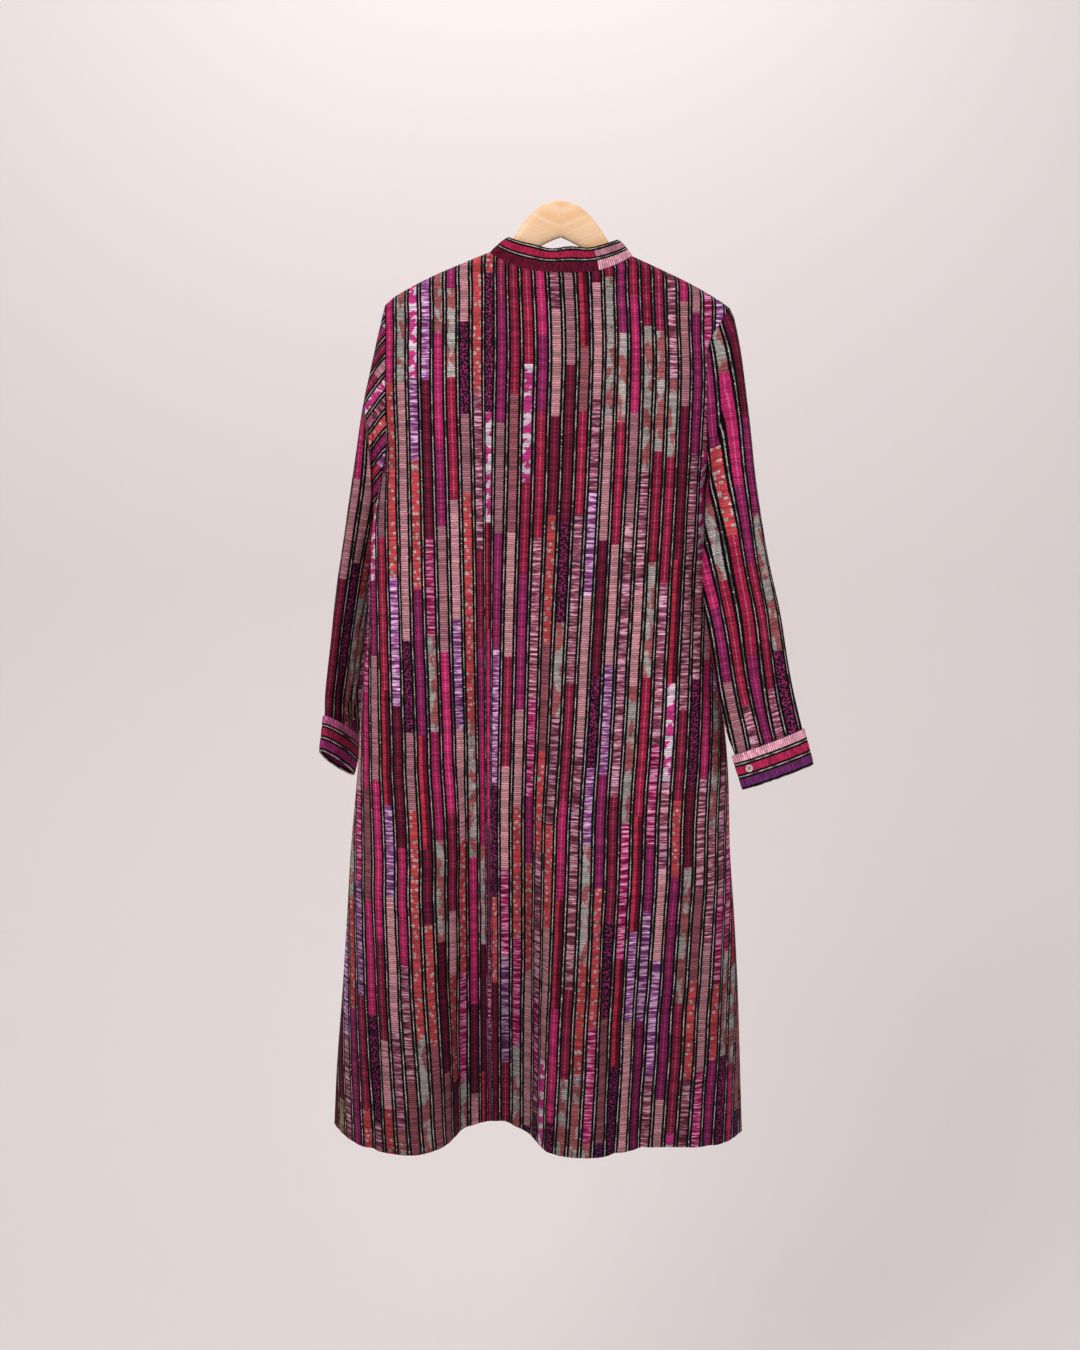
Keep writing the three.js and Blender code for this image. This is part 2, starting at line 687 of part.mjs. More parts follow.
function cuffGeometry(side) {
  const layer = (inset) => {
    const rows = [];
    for (let row = 0; row <= CUFF_ROWS; row += 1) {
      const along = mix(1 + CUFF_SEAM, CUFF_RIM, row / CUFF_ROWS);
      const points = [];
      for (let step = 0; step <= CUFF_STEPS; step += 1) {
        points.push(cuffPoint(side, step / CUFF_STEPS, along, inset));
      }
      rows.push(points);
    }
    return rows;
  };
  return wallGeometry(layer(0), layer(BAND), false);
}

// ---- collar -------------------------------------------------------------------------
// Steps round the neck from the centre front over the right shoulder to the back and on.
function collarGrid() {
  const back = panelGrid("back")[0];
  const front = panelGrid("front")[0];
  const middle = SHOULDER_COLUMNS + NECK_COLUMNS / 2;
  const base = [];
  for (let step = 0; step <= 2 * NECK_COLUMNS; step += 1) {
    const quarter = NECK_COLUMNS / 2;
    const fromFront = step <= quarter || step >= 3 * quarter;
    const column = step <= quarter ? middle + step : middle + 2 * quarter - step;
    const wrapped = step >= 3 * quarter ? middle + step - 4 * quarter : column;
    base.push((fromFront ? front : back)[wrapped].clone());
  }
  const rows = [];
  for (let row = 0; row <= COLLAR_ROWS; row += 1) {
    const share = row / COLLAR_ROWS;
    rows.push(base.map((point, step) => collarPoint(point, step, share)));
  }
  return rows;
}

function collarPoint(base, step, share) {
  const turn = (Math.PI * step) / NECK_COLUMNS;
  const face = Math.cos(turn) > 0 ? "front" : "back";
  const top = COLLAR_TOP[face];
  const outward = Math.sin(turn);
  const depth = Math.abs(Math.cos(turn));
  const x = COLLAR_TOP_CENTRE + COLLAR_TOP_HALF_WIDTH * outward;
  const wave = face === "back" ? COLLAR_WAVE * depth * Math.sin(x / 8) * bell(x / 45) : 0;
  const level = mix(top.level, COLLAR_SIDE_LEVEL, Math.abs(outward) ** top.power) + wave;
  const rim = new THREE.Vector3(x, FACE_SIGN[face] * top.depth * depth, level - TILT * x);
  const lifted = base.clone().addScaledVector(rim.clone().sub(base).normalize(), COLLAR_BASE_GAP);
  const point = lifted.lerp(rim, share);
  const swell = COLLAR_SWELL * Math.sin(Math.PI * share);
  point.x += swell * outward;
  point.y += swell * FACE_SIGN[face] * depth;
  if (step === 0 || step === 2 * NECK_COLUMNS) {
    point.x += (step === 0 ? 1 : -1) * (COLLAR_FRONT_GAP / 2);
  }
  return point;
}

function collarGeometry() {
  const outer = collarGrid();
  const inner = offsetGrid(outer, BAND);
  const last = outer[0].length - 1;
  inner[0].forEach((point) => {
    point.z += COLLAR_INNER_LIFT;
  });
  outer.forEach((row, r) => {
    inner[r][0].x = row[0].x;
    inner[r][last].x = row[last].x;
  });
  return wallGeometry(outer, inner, false);
}

// ---- front placket ------------------------------------------------------------------
const PLACKET_ROWS = 15;
const PLACKET_COLUMNS = [-1, 0, 1].map((step) => PANEL_COLUMNS / 2 + step);

function placketWall() {
  const panel = panelGrid("front");
  const raise = (distance) =>
    offsetGrid(panel, distance)
      .slice(0, PLACKET_ROWS)
      .map((row) => PLACKET_COLUMNS.map((column) => row[column]));
  return { outer: raise(2 * SEAM_GAP + CLOTH), inner: raise(2 * SEAM_GAP) };
}

// ---- buttons ------------------------------------------------------------------------
function buttonGeometry() {
  const r = BUTTON_RADIUS;
  const t = BUTTON_THICKNESS;
  const profile = [
    [0, 0],
    [r * 0.72, 0],
    [r, t * 0.4],
    [r * 0.94, t * 0.9],
    [r * 0.76, t],
    [r * 0.6, t * 0.72],
    [0, t * 0.68],
  ].map(([radius, height]) => new THREE.Vector2(radius, height));
  return new THREE.LatheGeometry(profile, BUTTON_SIDES);
}

// A button lying on a surface point, its axis along the outward normal there.
function buttonMesh(name, point, normal, material) {
  const mesh = new THREE.Mesh(buttonGeometry(), material);
  mesh.name = name;
  mesh.position.copy(point).addScaledVector(normal, BUTTON_CLEARANCE);
  mesh.quaternion.setFromUnitVectors(new THREE.Vector3(0, 1, 0), normal);
  return mesh;
}

function cuffButton(side, material) {
  const { turn, along } = CUFF_BUTTON;
  const step = 0.01;
  const point = cuffPoint(side, turn, along, 0);
  const around = cuffPoint(side, turn + step, along, 0).sub(cuffPoint(side, turn - step, along, 0));
  const down = cuffPoint(side, turn, along + step, 0).sub(cuffPoint(side, turn, along - step, 0));
  const normal = around.cross(down).normalize();
  const outward = point.clone().sub(sleeveFrame(side)(along).centre);
  if (normal.dot(outward) < 0) {
    normal.negate();
  }
  return buttonMesh(`cuff_button_${side}`, point, normal, material);
}

// ---- hanger -------------------------------------------------------------------------
function hangerHalf(edge) {
  const sections = HANGER.map((row) => {
    const x = edge * row.out;
    const middle = (row.top + row.bottom) / 2;
    const half = (row.top - row.bottom) / 2;
    const points = [];
    for (let i = 0; i < HANGER_SECTION_POINTS; i += 1) {
      const angle = (2 * Math.PI * i) / HANGER_SECTION_POINTS;
      const y = row.half * Math.sign(Math.sin(angle)) * Math.abs(Math.sin(angle)) ** HANGER_ROUNDNESS;
      const z = half * Math.sign(Math.cos(angle)) * Math.abs(Math.cos(angle)) ** HANGER_ROUNDNESS;
      points.push(new THREE.Vector3(x, y, middle + z - TILT * x));
    }
    return points;
  });
  return barGeometry(sections);
}

// ---- assembly -----------------------------------------------------------------------
const cloth = new THREE.MeshStandardMaterial({ color: 0x6d2546, roughness: 0.85, metalness: 0 });
const band = new THREE.MeshStandardMaterial({ color: 0x571c38, roughness: 0.85, metalness: 0 });
const wood = new THREE.MeshStandardMaterial({ color: 0xdfb888, roughness: 0.5, metalness: 0 });
const shell = new THREE.MeshStandardMaterial({ color: 0xb9a3a2, roughness: 0.35, metalness: 0 });

function addMesh(group, name, geometry, material) {
  const mesh = new THREE.Mesh(geometry, material);
  mesh.name = name;
  group.add(mesh);
}

const tunic = new THREE.Group();
["back", "front"].forEach((face) => {
  const { rows, names } = PANEL_SECTIONS[face];
  const walls = sectionWalls(panelWall(face), rows, PANEL_HALVES.columns, false);
  walls.forEach((wall, i) => {
    const section = names[Math.floor(i / PANEL_HALVES.names.length)];
    const half = PANEL_HALVES.names[i % PANEL_HALVES.names.length];
    addMesh(tunic, `${face}_${section}_${half}`, wall, cloth);
  });
});
["left", "right"].forEach((side) => {
  sectionWalls(sleeveWall(side), SLEEVE_SECTIONS.rows, [], true).forEach((wall, i) => {
    addMesh(tunic, `sleeve_${side}_${SLEEVE_SECTIONS.names[i]}`, wall, cloth);
  });
  addMesh(tunic, `cuff_${side}`, cuffGeometry(side), band);
  tunic.add(cuffButton(side, shell));
});
addMesh(tunic, "collar_band", collarGeometry(), band);

const placket = placketWall();
addMesh(tunic, "front_placket", wallGeometry(placket.outer, placket.inner, false), cloth);
PLACKET_BUTTON_ROWS.forEach((row, i) => {
  const normal = new THREE.Vector3().subVectors(placket.outer[row][1], placket.inner[row][1]);
  tunic.add(buttonMesh(`front_button_${i + 1}`, placket.outer[row][1], normal.normalize(), shell));
});

addMesh(tunic, "hanger_left_half", hangerHalf(-1), wood);
addMesh(tunic, "hanger_right_half", hangerHalf(1), wood);

export default tunic;
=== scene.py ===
"""Looks of a hanging tunic of striped handwoven cloth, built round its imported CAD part.

Lengths in the tables are millimetres in the part's own frame: +Z up, the garment's back at -Y,
the origin on the crown of its hanger. Every mesh is scaled to metres when it is made.
"""

import math

import bpy
import numpy as np
from mathutils import Matrix, Vector


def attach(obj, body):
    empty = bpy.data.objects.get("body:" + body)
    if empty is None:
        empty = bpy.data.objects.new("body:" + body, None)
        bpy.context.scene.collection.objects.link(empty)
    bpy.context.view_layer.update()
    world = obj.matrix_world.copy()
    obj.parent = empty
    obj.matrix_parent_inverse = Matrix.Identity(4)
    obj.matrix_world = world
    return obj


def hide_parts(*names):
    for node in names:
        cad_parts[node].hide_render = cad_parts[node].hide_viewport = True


MM = 0.001

# ---- the garment's form, the same dimensions as its solids ----
SEAM_GAP = 0.3
CLOTH = 1.6
BAND = 2.2
TILT = 0.024
SHOULDER_TIP_LEFT = -205
SHOULDER_TIP_RIGHT = 198
HEM_LEVEL = -1121
HEM_CORNER_LIFT = {"left": 7, "right": -2}
UNDERARM = 0.2045
ARMHOLE_HALF_DEPTH = 24
NECK_CENTRE = 0.6
NECK_HALF_WIDTH = 83.4
NECK_SIDE_LEVEL = -62
NECK = {
    "back": {"level": -86, "depth": 38, "power": 2.5},
    "front": {"level": -130, "depth": 46, "power": 2},
}
COLLAR_TOP_CENTRE = 3
COLLAR_TOP_HALF_WIDTH = 64.5
COLLAR_SIDE_LEVEL = -44
COLLAR_TOP = {
    "back": {"level": -58, "depth": 32, "power": 2.5},
    "front": {"level": -101, "depth": 40, "power": 2},
}
COLLAR_WAVE = 1.7
COLLAR_SWELL = 1.2
COLLAR_BASE_GAP = 0.7
COLLAR_FRONT_GAP = 1
COLLAR_INNER_LIFT = 2
ROLL_DEPTH = 18
ROLL_DROP = 16
SETTLE_DROP = 160
NECK_SETTLE_DROP = 120
EDGE_SPREAD = 6
EDGE_HOLD = 16
FOLD_START = 0.1
FOLD_GROWTH = 1.5
FACE_SIGN = {"back": -1, "front": 1}


def table(columns, *rows):
    """A table as a dict of columns, each an array."""
    values = np.array(rows, float).T
    return dict(zip(columns.split(), values))


SHOULDER_LINE = table(
    "out level", (83.4, -62), (117, -76.4), (155, -93.6), (193, -114.9), (206, -126)
)
BODY = table(
    "level left right back front",
    (-121, -205, 198, 20, 20),
    (-140, -204.5, 187, 26, 26),
    (-157, -204, 176, 30, 30),
    (-175, -204, 171.5, 34, 36),
    (-246, -204.5, 171, 42, 44),
    (-292, -205, 172.6, 45, 47),
    (-349, -217, 174.3, 47, 48),
    (-396, -225, 176, 48, 49),
    (-515, -231, 184.5, 51, 52),
    (-588, -238, 194.7, 53, 54),
    (-673, -243.6, 203, 54, 56),
    (-771, -253, 206.4, 56, 58),
    (-845, -258, 212, 58, 60),
    (-945, -265, 218, 60, 62),
    (-1046, -273.4, 222, 62, 64),
    (-1121, -277.5, 225, 62, 64),
)
HEM_FOLDS = {
    "back": table(
        "across depth",
        (-1, 0), (-0.9, 45), (-0.78, 72), (-0.6, 90), (-0.46, 66), (-0.36, 14), (-0.23, 5),
        (-0.1, 12), (-0.03, 36), (0.05, 80), (0.22, 97), (0.35, 86), (0.5, 63), (0.77, 60),
        (0.91, 40), (1, 0),
    ),
    "front": table(
        "across depth",
        (-1, 0), (-0.9, 38), (-0.7, 80), (-0.52, 66), (-0.36, 36), (-0.2, 44), (-0.04, 74),
        (0.14, 82), (0.32, 40), (0.47, 28), (0.64, 66), (0.82, 72), (0.92, 36), (1, 0),
    ),
}
VALLEY_LIFT = {"back": 13, "front": 5}
VALLEY_PLACE = {"back": -0.21, "front": 0.42}
VALLEY_WIDTH = 0.16

SLEEVE_COLUMNS = "along outer_x outer_y outer_z inner_x inner_y inner_z thick turn"
SLEEVE = {
    "right": table(
        SLEEVE_COLUMNS,
        (0.05, 204, -2, -136, 178, -5, -326, 48, 0),
        (0.15, 211, -7, -173, 176, -18, -350, 48, 0),
        (0.3, 220.5, -18, -246, 169, -34, -394, 46, 0),
        (0.45, 228.5, -32, -325, 166, -47, -445, 42, 0),
        (0.6, 240.5, -42, -406, 172, -54, -501, 37, 0),
        (0.75, 257.5, -50, -486, 181, -58, -556, 31, 0),
        (0.9, 272.5, -54, -571, 194, -59, -616, 25, 0),
        (1, 284, -54, -615, 204, -58, -645, 19, 0),
        (1.1, 296, -54, -658, 217, -58, -686, 18, 0),
    ),
    "left": table(
        SLEEVE_COLUMNS,
        (0.05, -210, 2, -136, -214, 5, -326, 47, 2),
        (0.15, -219, 5, -173, -221, 20, -352, 44, 8),
        (0.3, -234, 9, -243, -229, 48, -402, 38, 22),
        (0.45, -244.5, 12, -325, -233, 78, -460, 35, 42),
        (0.6, -258, 15, -409, -238, 98, -521, 32, 56),
        (0.75, -271.5, 18, -501, -244, 104, -578, 29, 62),
        (0.9, -281.5, 20, -578, -247, 98, -628, 25, 62),
        (1, -284, 20, -610, -249, 88, -650, 21, 60),
        (1.1, -289, 20, -653, -259, 88, -693, 20, 60),
    ),
}
SLEEVE_EDGE = {"left": -1, "right": 1}
FOLD_COLUMNS = "start end angle_start angle_end width depth"
SLEEVE_FOLDS = {
    "right": table(
        FOLD_COLUMNS,
        (0.28, 0.98, 128, 96, 20, -7),
        (0.34, 0.9, 100, 66, 17, 4),
        (0.72, 1.04, 46, 58, 15, -4.5),
        (0.3, 0.96, 250, 280, 22, -6),
    ),
    "left": table(
        FOLD_COLUMNS,
        (0.1, 0.46, 76, 120, 18, -6),
        (0.5, 1.0, 118, 92, 20, -5),
        (0.7, 1.04, 40, 62, 15, -4),
        (0.34, 0.95, 255, 285, 22, -5),
    ),
}
# Sharper creases of the sleeves, which only the cloth itself has.
SLEEVE_CREASES = {
    "right": table(
        FOLD_COLUMNS,
        (0.16, 0.62, 100, 138, 6, -4.5),
        (0.2, 0.58, 88, 122, 5, 1.8),
        (0.05, 0.24, 52, 74, 6, -2.4),
        (0.8, 1.06, 84, 78, 5, -3.4),
        (0.78, 1.06, 62, 66, 4, -3),
        (0.84, 1.06, 112, 104, 5, -3.2),
        (0.5, 0.8, 40, 52, 6, -2),
        (0.1, 0.5, 262, 236, 6, -4),
        (0.82, 1.06, 262, 270, 5, -3.2),
        (0.76, 1.06, 296, 288, 5, -3),
        (0.3, 0.6, 306, 322, 6, -2.2),
    ),
    "left": table(
        FOLD_COLUMNS,
        (0.14, 0.44, 52, 132, 6, -5),
        (0.1, 0.34, 40, 104, 7, 2),
        (0.36, 0.8, 112, 84, 6, -3.4),
        (0.8, 1.06, 82, 76, 5, -3.2),
        (0.82, 1.06, 104, 98, 4, -3),
        (0.78, 1.06, 50, 56, 5, -2.8),
        (0.5, 0.78, 60, 46, 6, -2),
        (0.12, 0.5, 236, 262, 6, -4),
        (0.8, 1.06, 258, 266, 5, -3.2),
        (0.84, 1.06, 292, 284, 5, -3),
    ),
}
CUFF_RIM = 1.1
CUFF_LAP = 1.0
CUFF_LAP_RISE = 3
CUFF_SEAM = 0.0012
SLEEVE_START = 0.03
UNDERARM_LEAN = {"left": 3.0, "right": 5.0}  # the cloth under the arm lies against the body
UNDERARM_LEAN_AT = 0.1  # where along the sleeve it leans most
UNDERARM_LEAN_SPAN = 0.14
SLEEVE_UNEVENNESS = 0.45

# Creases of the back and the front: a start, a middle and an end in the plane of the garment,
# how deep and how wide the trough is, and whether it runs on into the hem.
CREASE_COLUMNS = "x1 z1 x2 z2 x3 z3 depth width open"
CREASES = {
    "back": table(
        CREASE_COLUMNS,
        (-162, -142, -158, -300, -150, -464, 3.6, 6, 0),
        (-88, -199, -87, -390, -83, -581, 3.2, 6, 0),
        (-192, -348, -190, -480, -186, -605, 3.4, 6, 0),
        (-145, -487, -142, -600, -137, -700, 4, 6, 0),
        (-118, -628, -113, -730, -107, -820, 4.4, 6, 0),
        (102, -109, 106, -325, 117, -652, 4.4, 6, 0),
        (59, -267, 65, -380, 72, -487, 2.6, 5, 0),
        (4, -452, 9, -640, 16, -820, 3.6, 6, 0),
        (-40, -558, -38, -830, -35, -1110, 5, 7, 1),
        (-237, -796, -218, -960, -226, -1100, 4.2, 6, 1),
        (45, -772, 54, -940, 63, -1130, 5, 7, 1),
        (127, -772, 128, -890, 129, -1003, 3.6, 6, 0),
        (-135, -820, -127, -950, -117, -1100, 5, 7, 1),
        (197, -796, 202, -930, 208, -1065, 3.6, 6, 0),
        (-196, -856, -195, -905, -193, -954, 2.6, 5, 0),
        (150, -300, 153, -420, 160, -560, 3, 5, 0),
        (-60, -880, -64, -980, -66, -1115, 3.4, 6, 1),
        (168, -860, 171, -990, 176, -1120, 3, 6, 1),
        (92, -900, 95, -1000, 98, -1125, 2.6, 5, 1),
    ),
    "front": table(
        CREASE_COLUMNS,
        (-150, -180, -146, -330, -141, -520, 3.6, 6, 0),
        (-84, -260, -88, -420, -96, -600, 3, 6, 0),
        (118, -150, 121, -340, 128, -610, 4, 6, 0),
        (66, -330, 72, -470, 80, -640, 2.8, 5, 0),
        (-176, -560, -180, -690, -186, -830, 3.6, 6, 0),
        (-120, -640, -122, -860, -126, -1110, 4.8, 7, 1),
        (-48, -560, -50, -820, -54, -1115, 4.4, 7, 1),
        (20, -720, 24, -900, 30, -1120, 3.8, 6, 1),
        (96, -700, 100, -880, 106, -1125, 4.6, 7, 1),
        (150, -480, 156, -640, 162, -800, 3.2, 6, 0),
        (176, -820, 181, -960, 188, -1120, 3.8, 6, 1),
        (-226, -840, -230, -960, -236, -1100, 3.4, 6, 1),
    ),
}
CREASE_SHOULDER = 0.28  # the cloth beside a trough rises by this share of its depth
CREASE_FADE = 0.3  # share of a crease's length over which it deepens or flattens out
CREASE_WANDER = 2.2  # how far a crease strays from its smooth line
CREASE_WAVE = 41

# The hanger's upper and lower edge and half thickness, before the tilt.
HANGER = table(
    "out top bottom half",
    (0.15, 0, -43, 6.5),
    (7, -1.3, -45.6, 6.5),
    (13, -3.6, -48.4, 6.5),
    (20, -5.7, -52, 6.5),
    (30, -12.7, -57.5, 6.6),
    (42, -25.4, -65, 6.5),
    (50, -37, -72, 6.4),
    (57, -48, -78, 6.2),
    (66, -60.5, -86, 5.8),
    (84, -73, -97, 6),
    (117, -84, -109, 8),
    (150, -97.5, -122, 9.2),
    (174, -110, -132, 8.6),
    (180, -114, -133, 7),
    (182.5, -118, -130, 4),
)
HANGER_ROUNDNESS = 0.62

# ---- the cloth ----
PITCH = 15.6  # a pieced strip and the black band beside it
STRIP = 9.7  # the strip alone
RIB = 2.6  # from one cross rib to the next
BEAD = 1.4  # from one stitch of the pale line to the next
SEGMENT = 135.0  # usual length of one piece of cloth in a strip
ANCHOR_X = -87.0  # the grain line that hangs straight down, in the middle of a shallow fold
CHEST_EASE = 0.95  # the strips are stretched a little over the shoulders
TAKE_UP = 0.07  # share of the width that fine folds take up below the shoulders
TAKE_UP_END = 0.5  # share of the length where they have taken it all up
TUCK = {"left": 9.0, "right": 15.0}  # cloth that the fold at the grain line swallows
TUCK_RUN = (0.1, 0.62)  # shares of the length between which it is swallowed
TUCK_WIDTH = 7.0  # three quarters of it lies within this distance of the grain line
FOLD_SHARE = 0.65  # how far the strips follow the depth of the folds
HEM_TURN = 0.0125  # share of the length that is turned up at the hem
HEM_LAYER = 0.5  # how far the turned-up cloth thickens the hem
HEM_STITCH = 0.4  # how deep the stitches draw it in
STRIP_HEIGHT = 0.45  # how far a strip stands out from the black band beside it
STRIP_EDGE = 1.6
# The cloth's unevenness: its height, its lengths across and down, and its random seed.
UNEVENNESS = ((0.9, 30, 85, 5), (0.35, 7.5, 13, 11))
SHARP_EDGE = math.radians(50)

# ---- resolution ----
PANEL_COLUMNS = 200
ARMHOLE_ROWS = 48
SKIRT_ROWS = 124
HEM_ROWS = 10
RING_STEPS = 2 * ARMHOLE_ROWS
SLEEVE_ROWS = 150
SLEEVE_HEAD_ROWS = 6
COARSE_SHOULDER_COLUMNS = 8
COARSE_NECK_COLUMNS = 14
COARSE_COLUMNS = 2 * COARSE_SHOULDER_COLUMNS + COARSE_NECK_COLUMNS
COARSE_SKIRT_ROWS = 13
HEM_SAMPLES = 2000


# ---- small mathematics ----
def mix(a, b, share):
    return a + (b - a) * share


def smooth(value):
    t = np.clip(value, 0, 1)
    return t * t * (3 - 2 * t)


def quarter_round(value):
    return np.sqrt(1 - (1 - np.clip(value, 0, 1)) ** 2)


def bell(value):
    return np.exp(-(value**2))


def curve(rows, x, y):
    """A smooth curve through the rows of a table, column x against column y."""
    xs, ys = rows[x], rows[y]
    after = np.minimum(np.arange(len(xs)) + 1, len(xs) - 1)
    before = np.maximum(np.arange(len(xs)) - 1, 0)
    slope = (ys[after] - ys[before]) / (xs[after] - xs[before])
    if xs[-1] < xs[0]:
        xs, ys, slope = xs[::-1], ys[::-1], slope[::-1]

    def read(value):
        value = np.asarray(value, float)
        i = np.clip(np.searchsorted(xs, value) - 1, 0, len(xs) - 2)
        span = xs[i + 1] - xs[i]
        t = np.clip((value - xs[i]) / span, 0, 1)
        return (
            (2 * t**3 - 3 * t**2 + 1) * ys[i]
            + (t**3 - 2 * t**2 + t) * span * slope[i]
            + (3 * t**2 - 2 * t**3) * ys[i + 1]
            + (t**3 - t**2) * span * slope[i + 1]
        )

    return read


def unit(vectors):
    length = np.linalg.norm(vectors, axis=-1, keepdims=True)
    return vectors / np.maximum(length, 1e-9)


def points(x, y, z):
    return np.stack(np.broadcast_arrays(x, y, z), -1)


def grid_normals(grid):
    """The normals of a grid of points: across the columns times down the rows."""
    return unit(np.cross(np.gradient(grid, axis=1), np.gradient(grid, axis=0)))


def run_along(line):
    """The length from the first of a line of points to each of them."""
    return np.concatenate([[0], np.cumsum(np.linalg.norm(np.diff(line, axis=0), axis=1))])


def soft_edges(share, width):
    """1 over a band of cloth, falling smoothly to 0 at its two edges."""
    return smooth(share / width) * smooth((1 - share) / width)


def stitch_rows(share, places, width):
    """1 on the rows of stitches at some places across a band, falling to 0 beside them."""
    return sum(bell((share - place) / width) for place in places)


def ripple(a, b, seed):
    """A smooth, uneven wave over two coordinates, about -1 to 1."""
    rng = np.random.default_rng(seed)
    total = np.zeros(np.broadcast(a, b).shape)
    for _ in range(7):
        turn, phase, pace = rng.uniform(0, 2 * np.pi), rng.uniform(0, 2 * np.pi), rng.uniform(0.6, 1.7)
        total += np.sin(pace * (a * np.cos(turn) + b * np.sin(turn)) + phase)
    return total / 3.2


# ---- body panels ----
shoulder_level = curve(SHOULDER_LINE, "out", "level")
edge_left = curve(BODY, "level", "left")
edge_right = curve(BODY, "level", "right")
body_depth = {face: curve(BODY, "level", face) for face in FACE_SIGN}
hem_depth = {face: curve(HEM_FOLDS[face], "across", "depth") for face in FACE_SIGN}


def across_at(x):
    """Where x lies along the shoulders, from -1 at the left tip to 1 at the right one."""
    return 2 * (x - SHOULDER_TIP_LEFT) / (SHOULDER_TIP_RIGHT - SHOULDER_TIP_LEFT) - 1


def top_level(face, x):
    """The panel's upper edge: the shoulder line, and the neckline between its two points."""
    from_neck = np.abs(x - NECK_CENTRE) / NECK_HALF_WIDTH
    neck = NECK[face]
    inside = neck["level"] + (NECK_SIDE_LEVEL - neck["level"]) * from_neck ** neck["power"]
    return np.where(from_neck < 1, inside, shoulder_level(np.abs(x))) - TILT * x


def neck_share(x):
    from_neck = np.abs(x - NECK_CENTRE) / NECK_HALF_WIDTH
    return np.sqrt(np.clip(1 - from_neck**2, 0, 1))


def hem_level(face, across):
    valley = VALLEY_LIFT[face] * bell((across - VALLEY_PLACE[face]) / VALLEY_WIDTH)
    corner = np.where(across < 0, HEM_CORNER_LIFT["left"], HEM_CORNER_LIFT["right"])
    return HEM_LEVEL + corner * np.abs(across) ** 8 + valley


def armhole_depth(down):
    from_middle = 1 - 2 * down / UNDERARM
    opened = ARMHOLE_HALF_DEPTH * np.sqrt(np.clip(1 - from_middle**2, 0, 1))
    return np.where(down < UNDERARM, opened, 0)


def armhole_swell(down):
    opened = quarter_round(2 * down / UNDERARM)
    return ARMHOLE_HALF_DEPTH * opened * (1 - smooth(down / UNDERARM - 0.5))


def panel_point(face, across, down, across_top):
    """Points of a body panel: across -1 to 1, down 0 to 1, and where they start at the top."""
    x_top = mix(SHOULDER_TIP_LEFT, SHOULDER_TIP_RIGHT, (across_top + 1) / 2)
    top = top_level(face, x_top)
    level = mix(top, hem_level(face, across), down)
    tips = [top_level(face, x) for x in (SHOULDER_TIP_LEFT, SHOULDER_TIP_RIGHT)]
    edge = mix(sum(tips) / 2, HEM_LEVEL, down)
    x = mix(edge_left(edge), edge_right(edge), (across + 1) / 2)

    full = body_depth[face](edge)
    drop = top - level
    settled = ROLL_DEPTH + np.maximum(0, full - ROLL_DEPTH) * smooth(drop / SETTLE_DROP)
    rolled = settled * quarter_round(drop / ROLL_DROP)
    from_axis = np.abs(across)
    side = mix(armhole_swell(down), armhole_depth(down), from_axis**EDGE_HOLD)
    below_arm = smooth((down - UNDERARM * 0.5) / UNDERARM)
    flatness = np.clip(1 - from_axis ** mix(6, 4.5, below_arm), 0, 1) ** mix(1, 0.5, below_arm)
    hung = rolled * flatness + side * from_axis**EDGE_SPREAD

    share = neck_share(x_top)
    neck_depth = NECK[face]["depth"] * share
    from_neck = mix(neck_depth, full * flatness, smooth(drop / NECK_SETTLE_DROP))
    body = mix(hung, from_neck, share)
    growth = np.clip((down - FOLD_START) / (1 - FOLD_START), 0, 1) ** FOLD_GROWTH
    depth = mix(body, hem_depth[face](across), growth)
    return points(x, FACE_SIGN[face] * (SEAM_GAP / 2 + np.maximum(0, depth)), level)


def top_columns(count):
    """Places along the upper edge: even along the shoulders, evenly turned round the neck."""
    column = np.linspace(0, COARSE_COLUMNS, count + 1)
    turn = np.pi * np.clip((column - COARSE_SHOULDER_COLUMNS) / COARSE_NECK_COLUMNS, 0, 1)
    neck = across_at(NECK_CENTRE - NECK_HALF_WIDTH * np.cos(turn))
    from_left = column / COARSE_SHOULDER_COLUMNS
    left = mix(-1, across_at(NECK_CENTRE - NECK_HALF_WIDTH), from_left)
    from_right = (column - COARSE_COLUMNS + COARSE_SHOULDER_COLUMNS) / COARSE_SHOULDER_COLUMNS
    right = mix(across_at(NECK_CENTRE + NECK_HALF_WIDTH), 1, from_right)
    beyond = column > COARSE_COLUMNS - COARSE_SHOULDER_COLUMNS
    return np.where(column < COARSE_SHOULDER_COLUMNS, left, np.where(beyond, right, neck))


def hem_columns(face, count):
    """Places along the hem, evenly spaced along its folded edge."""
    across = np.linspace(-1, 1, HEM_SAMPLES + 1)
    edge = panel_point(face, across, 1.0, across)
    length = run_along(edge)
    return np.interp(np.linspace(0, length[-1], count + 1), length, across)


def panel_rows():
    turn = np.linspace(0, np.pi, ARMHOLE_ROWS + 1)
    arm = UNDERARM * (1 - np.cos(turn)) / 2
    skirt = np.linspace(UNDERARM, 1 - 1.3 * HEM_TURN, SKIRT_ROWS + 1)[1:]
    hem = np.linspace(1 - 1.3 * HEM_TURN, 1, HEM_ROWS + 1)[1:]
    return np.concatenate([arm, skirt, hem])


def trough(offset, width):
    """The section of a crease: a narrow trough with the cloth raised a little beside it."""
    near = bell(offset / width)
    beside = bell((np.abs(offset) - 2.1 * width) / (1.3 * width))
    return -near + CREASE_SHOULDER * beside


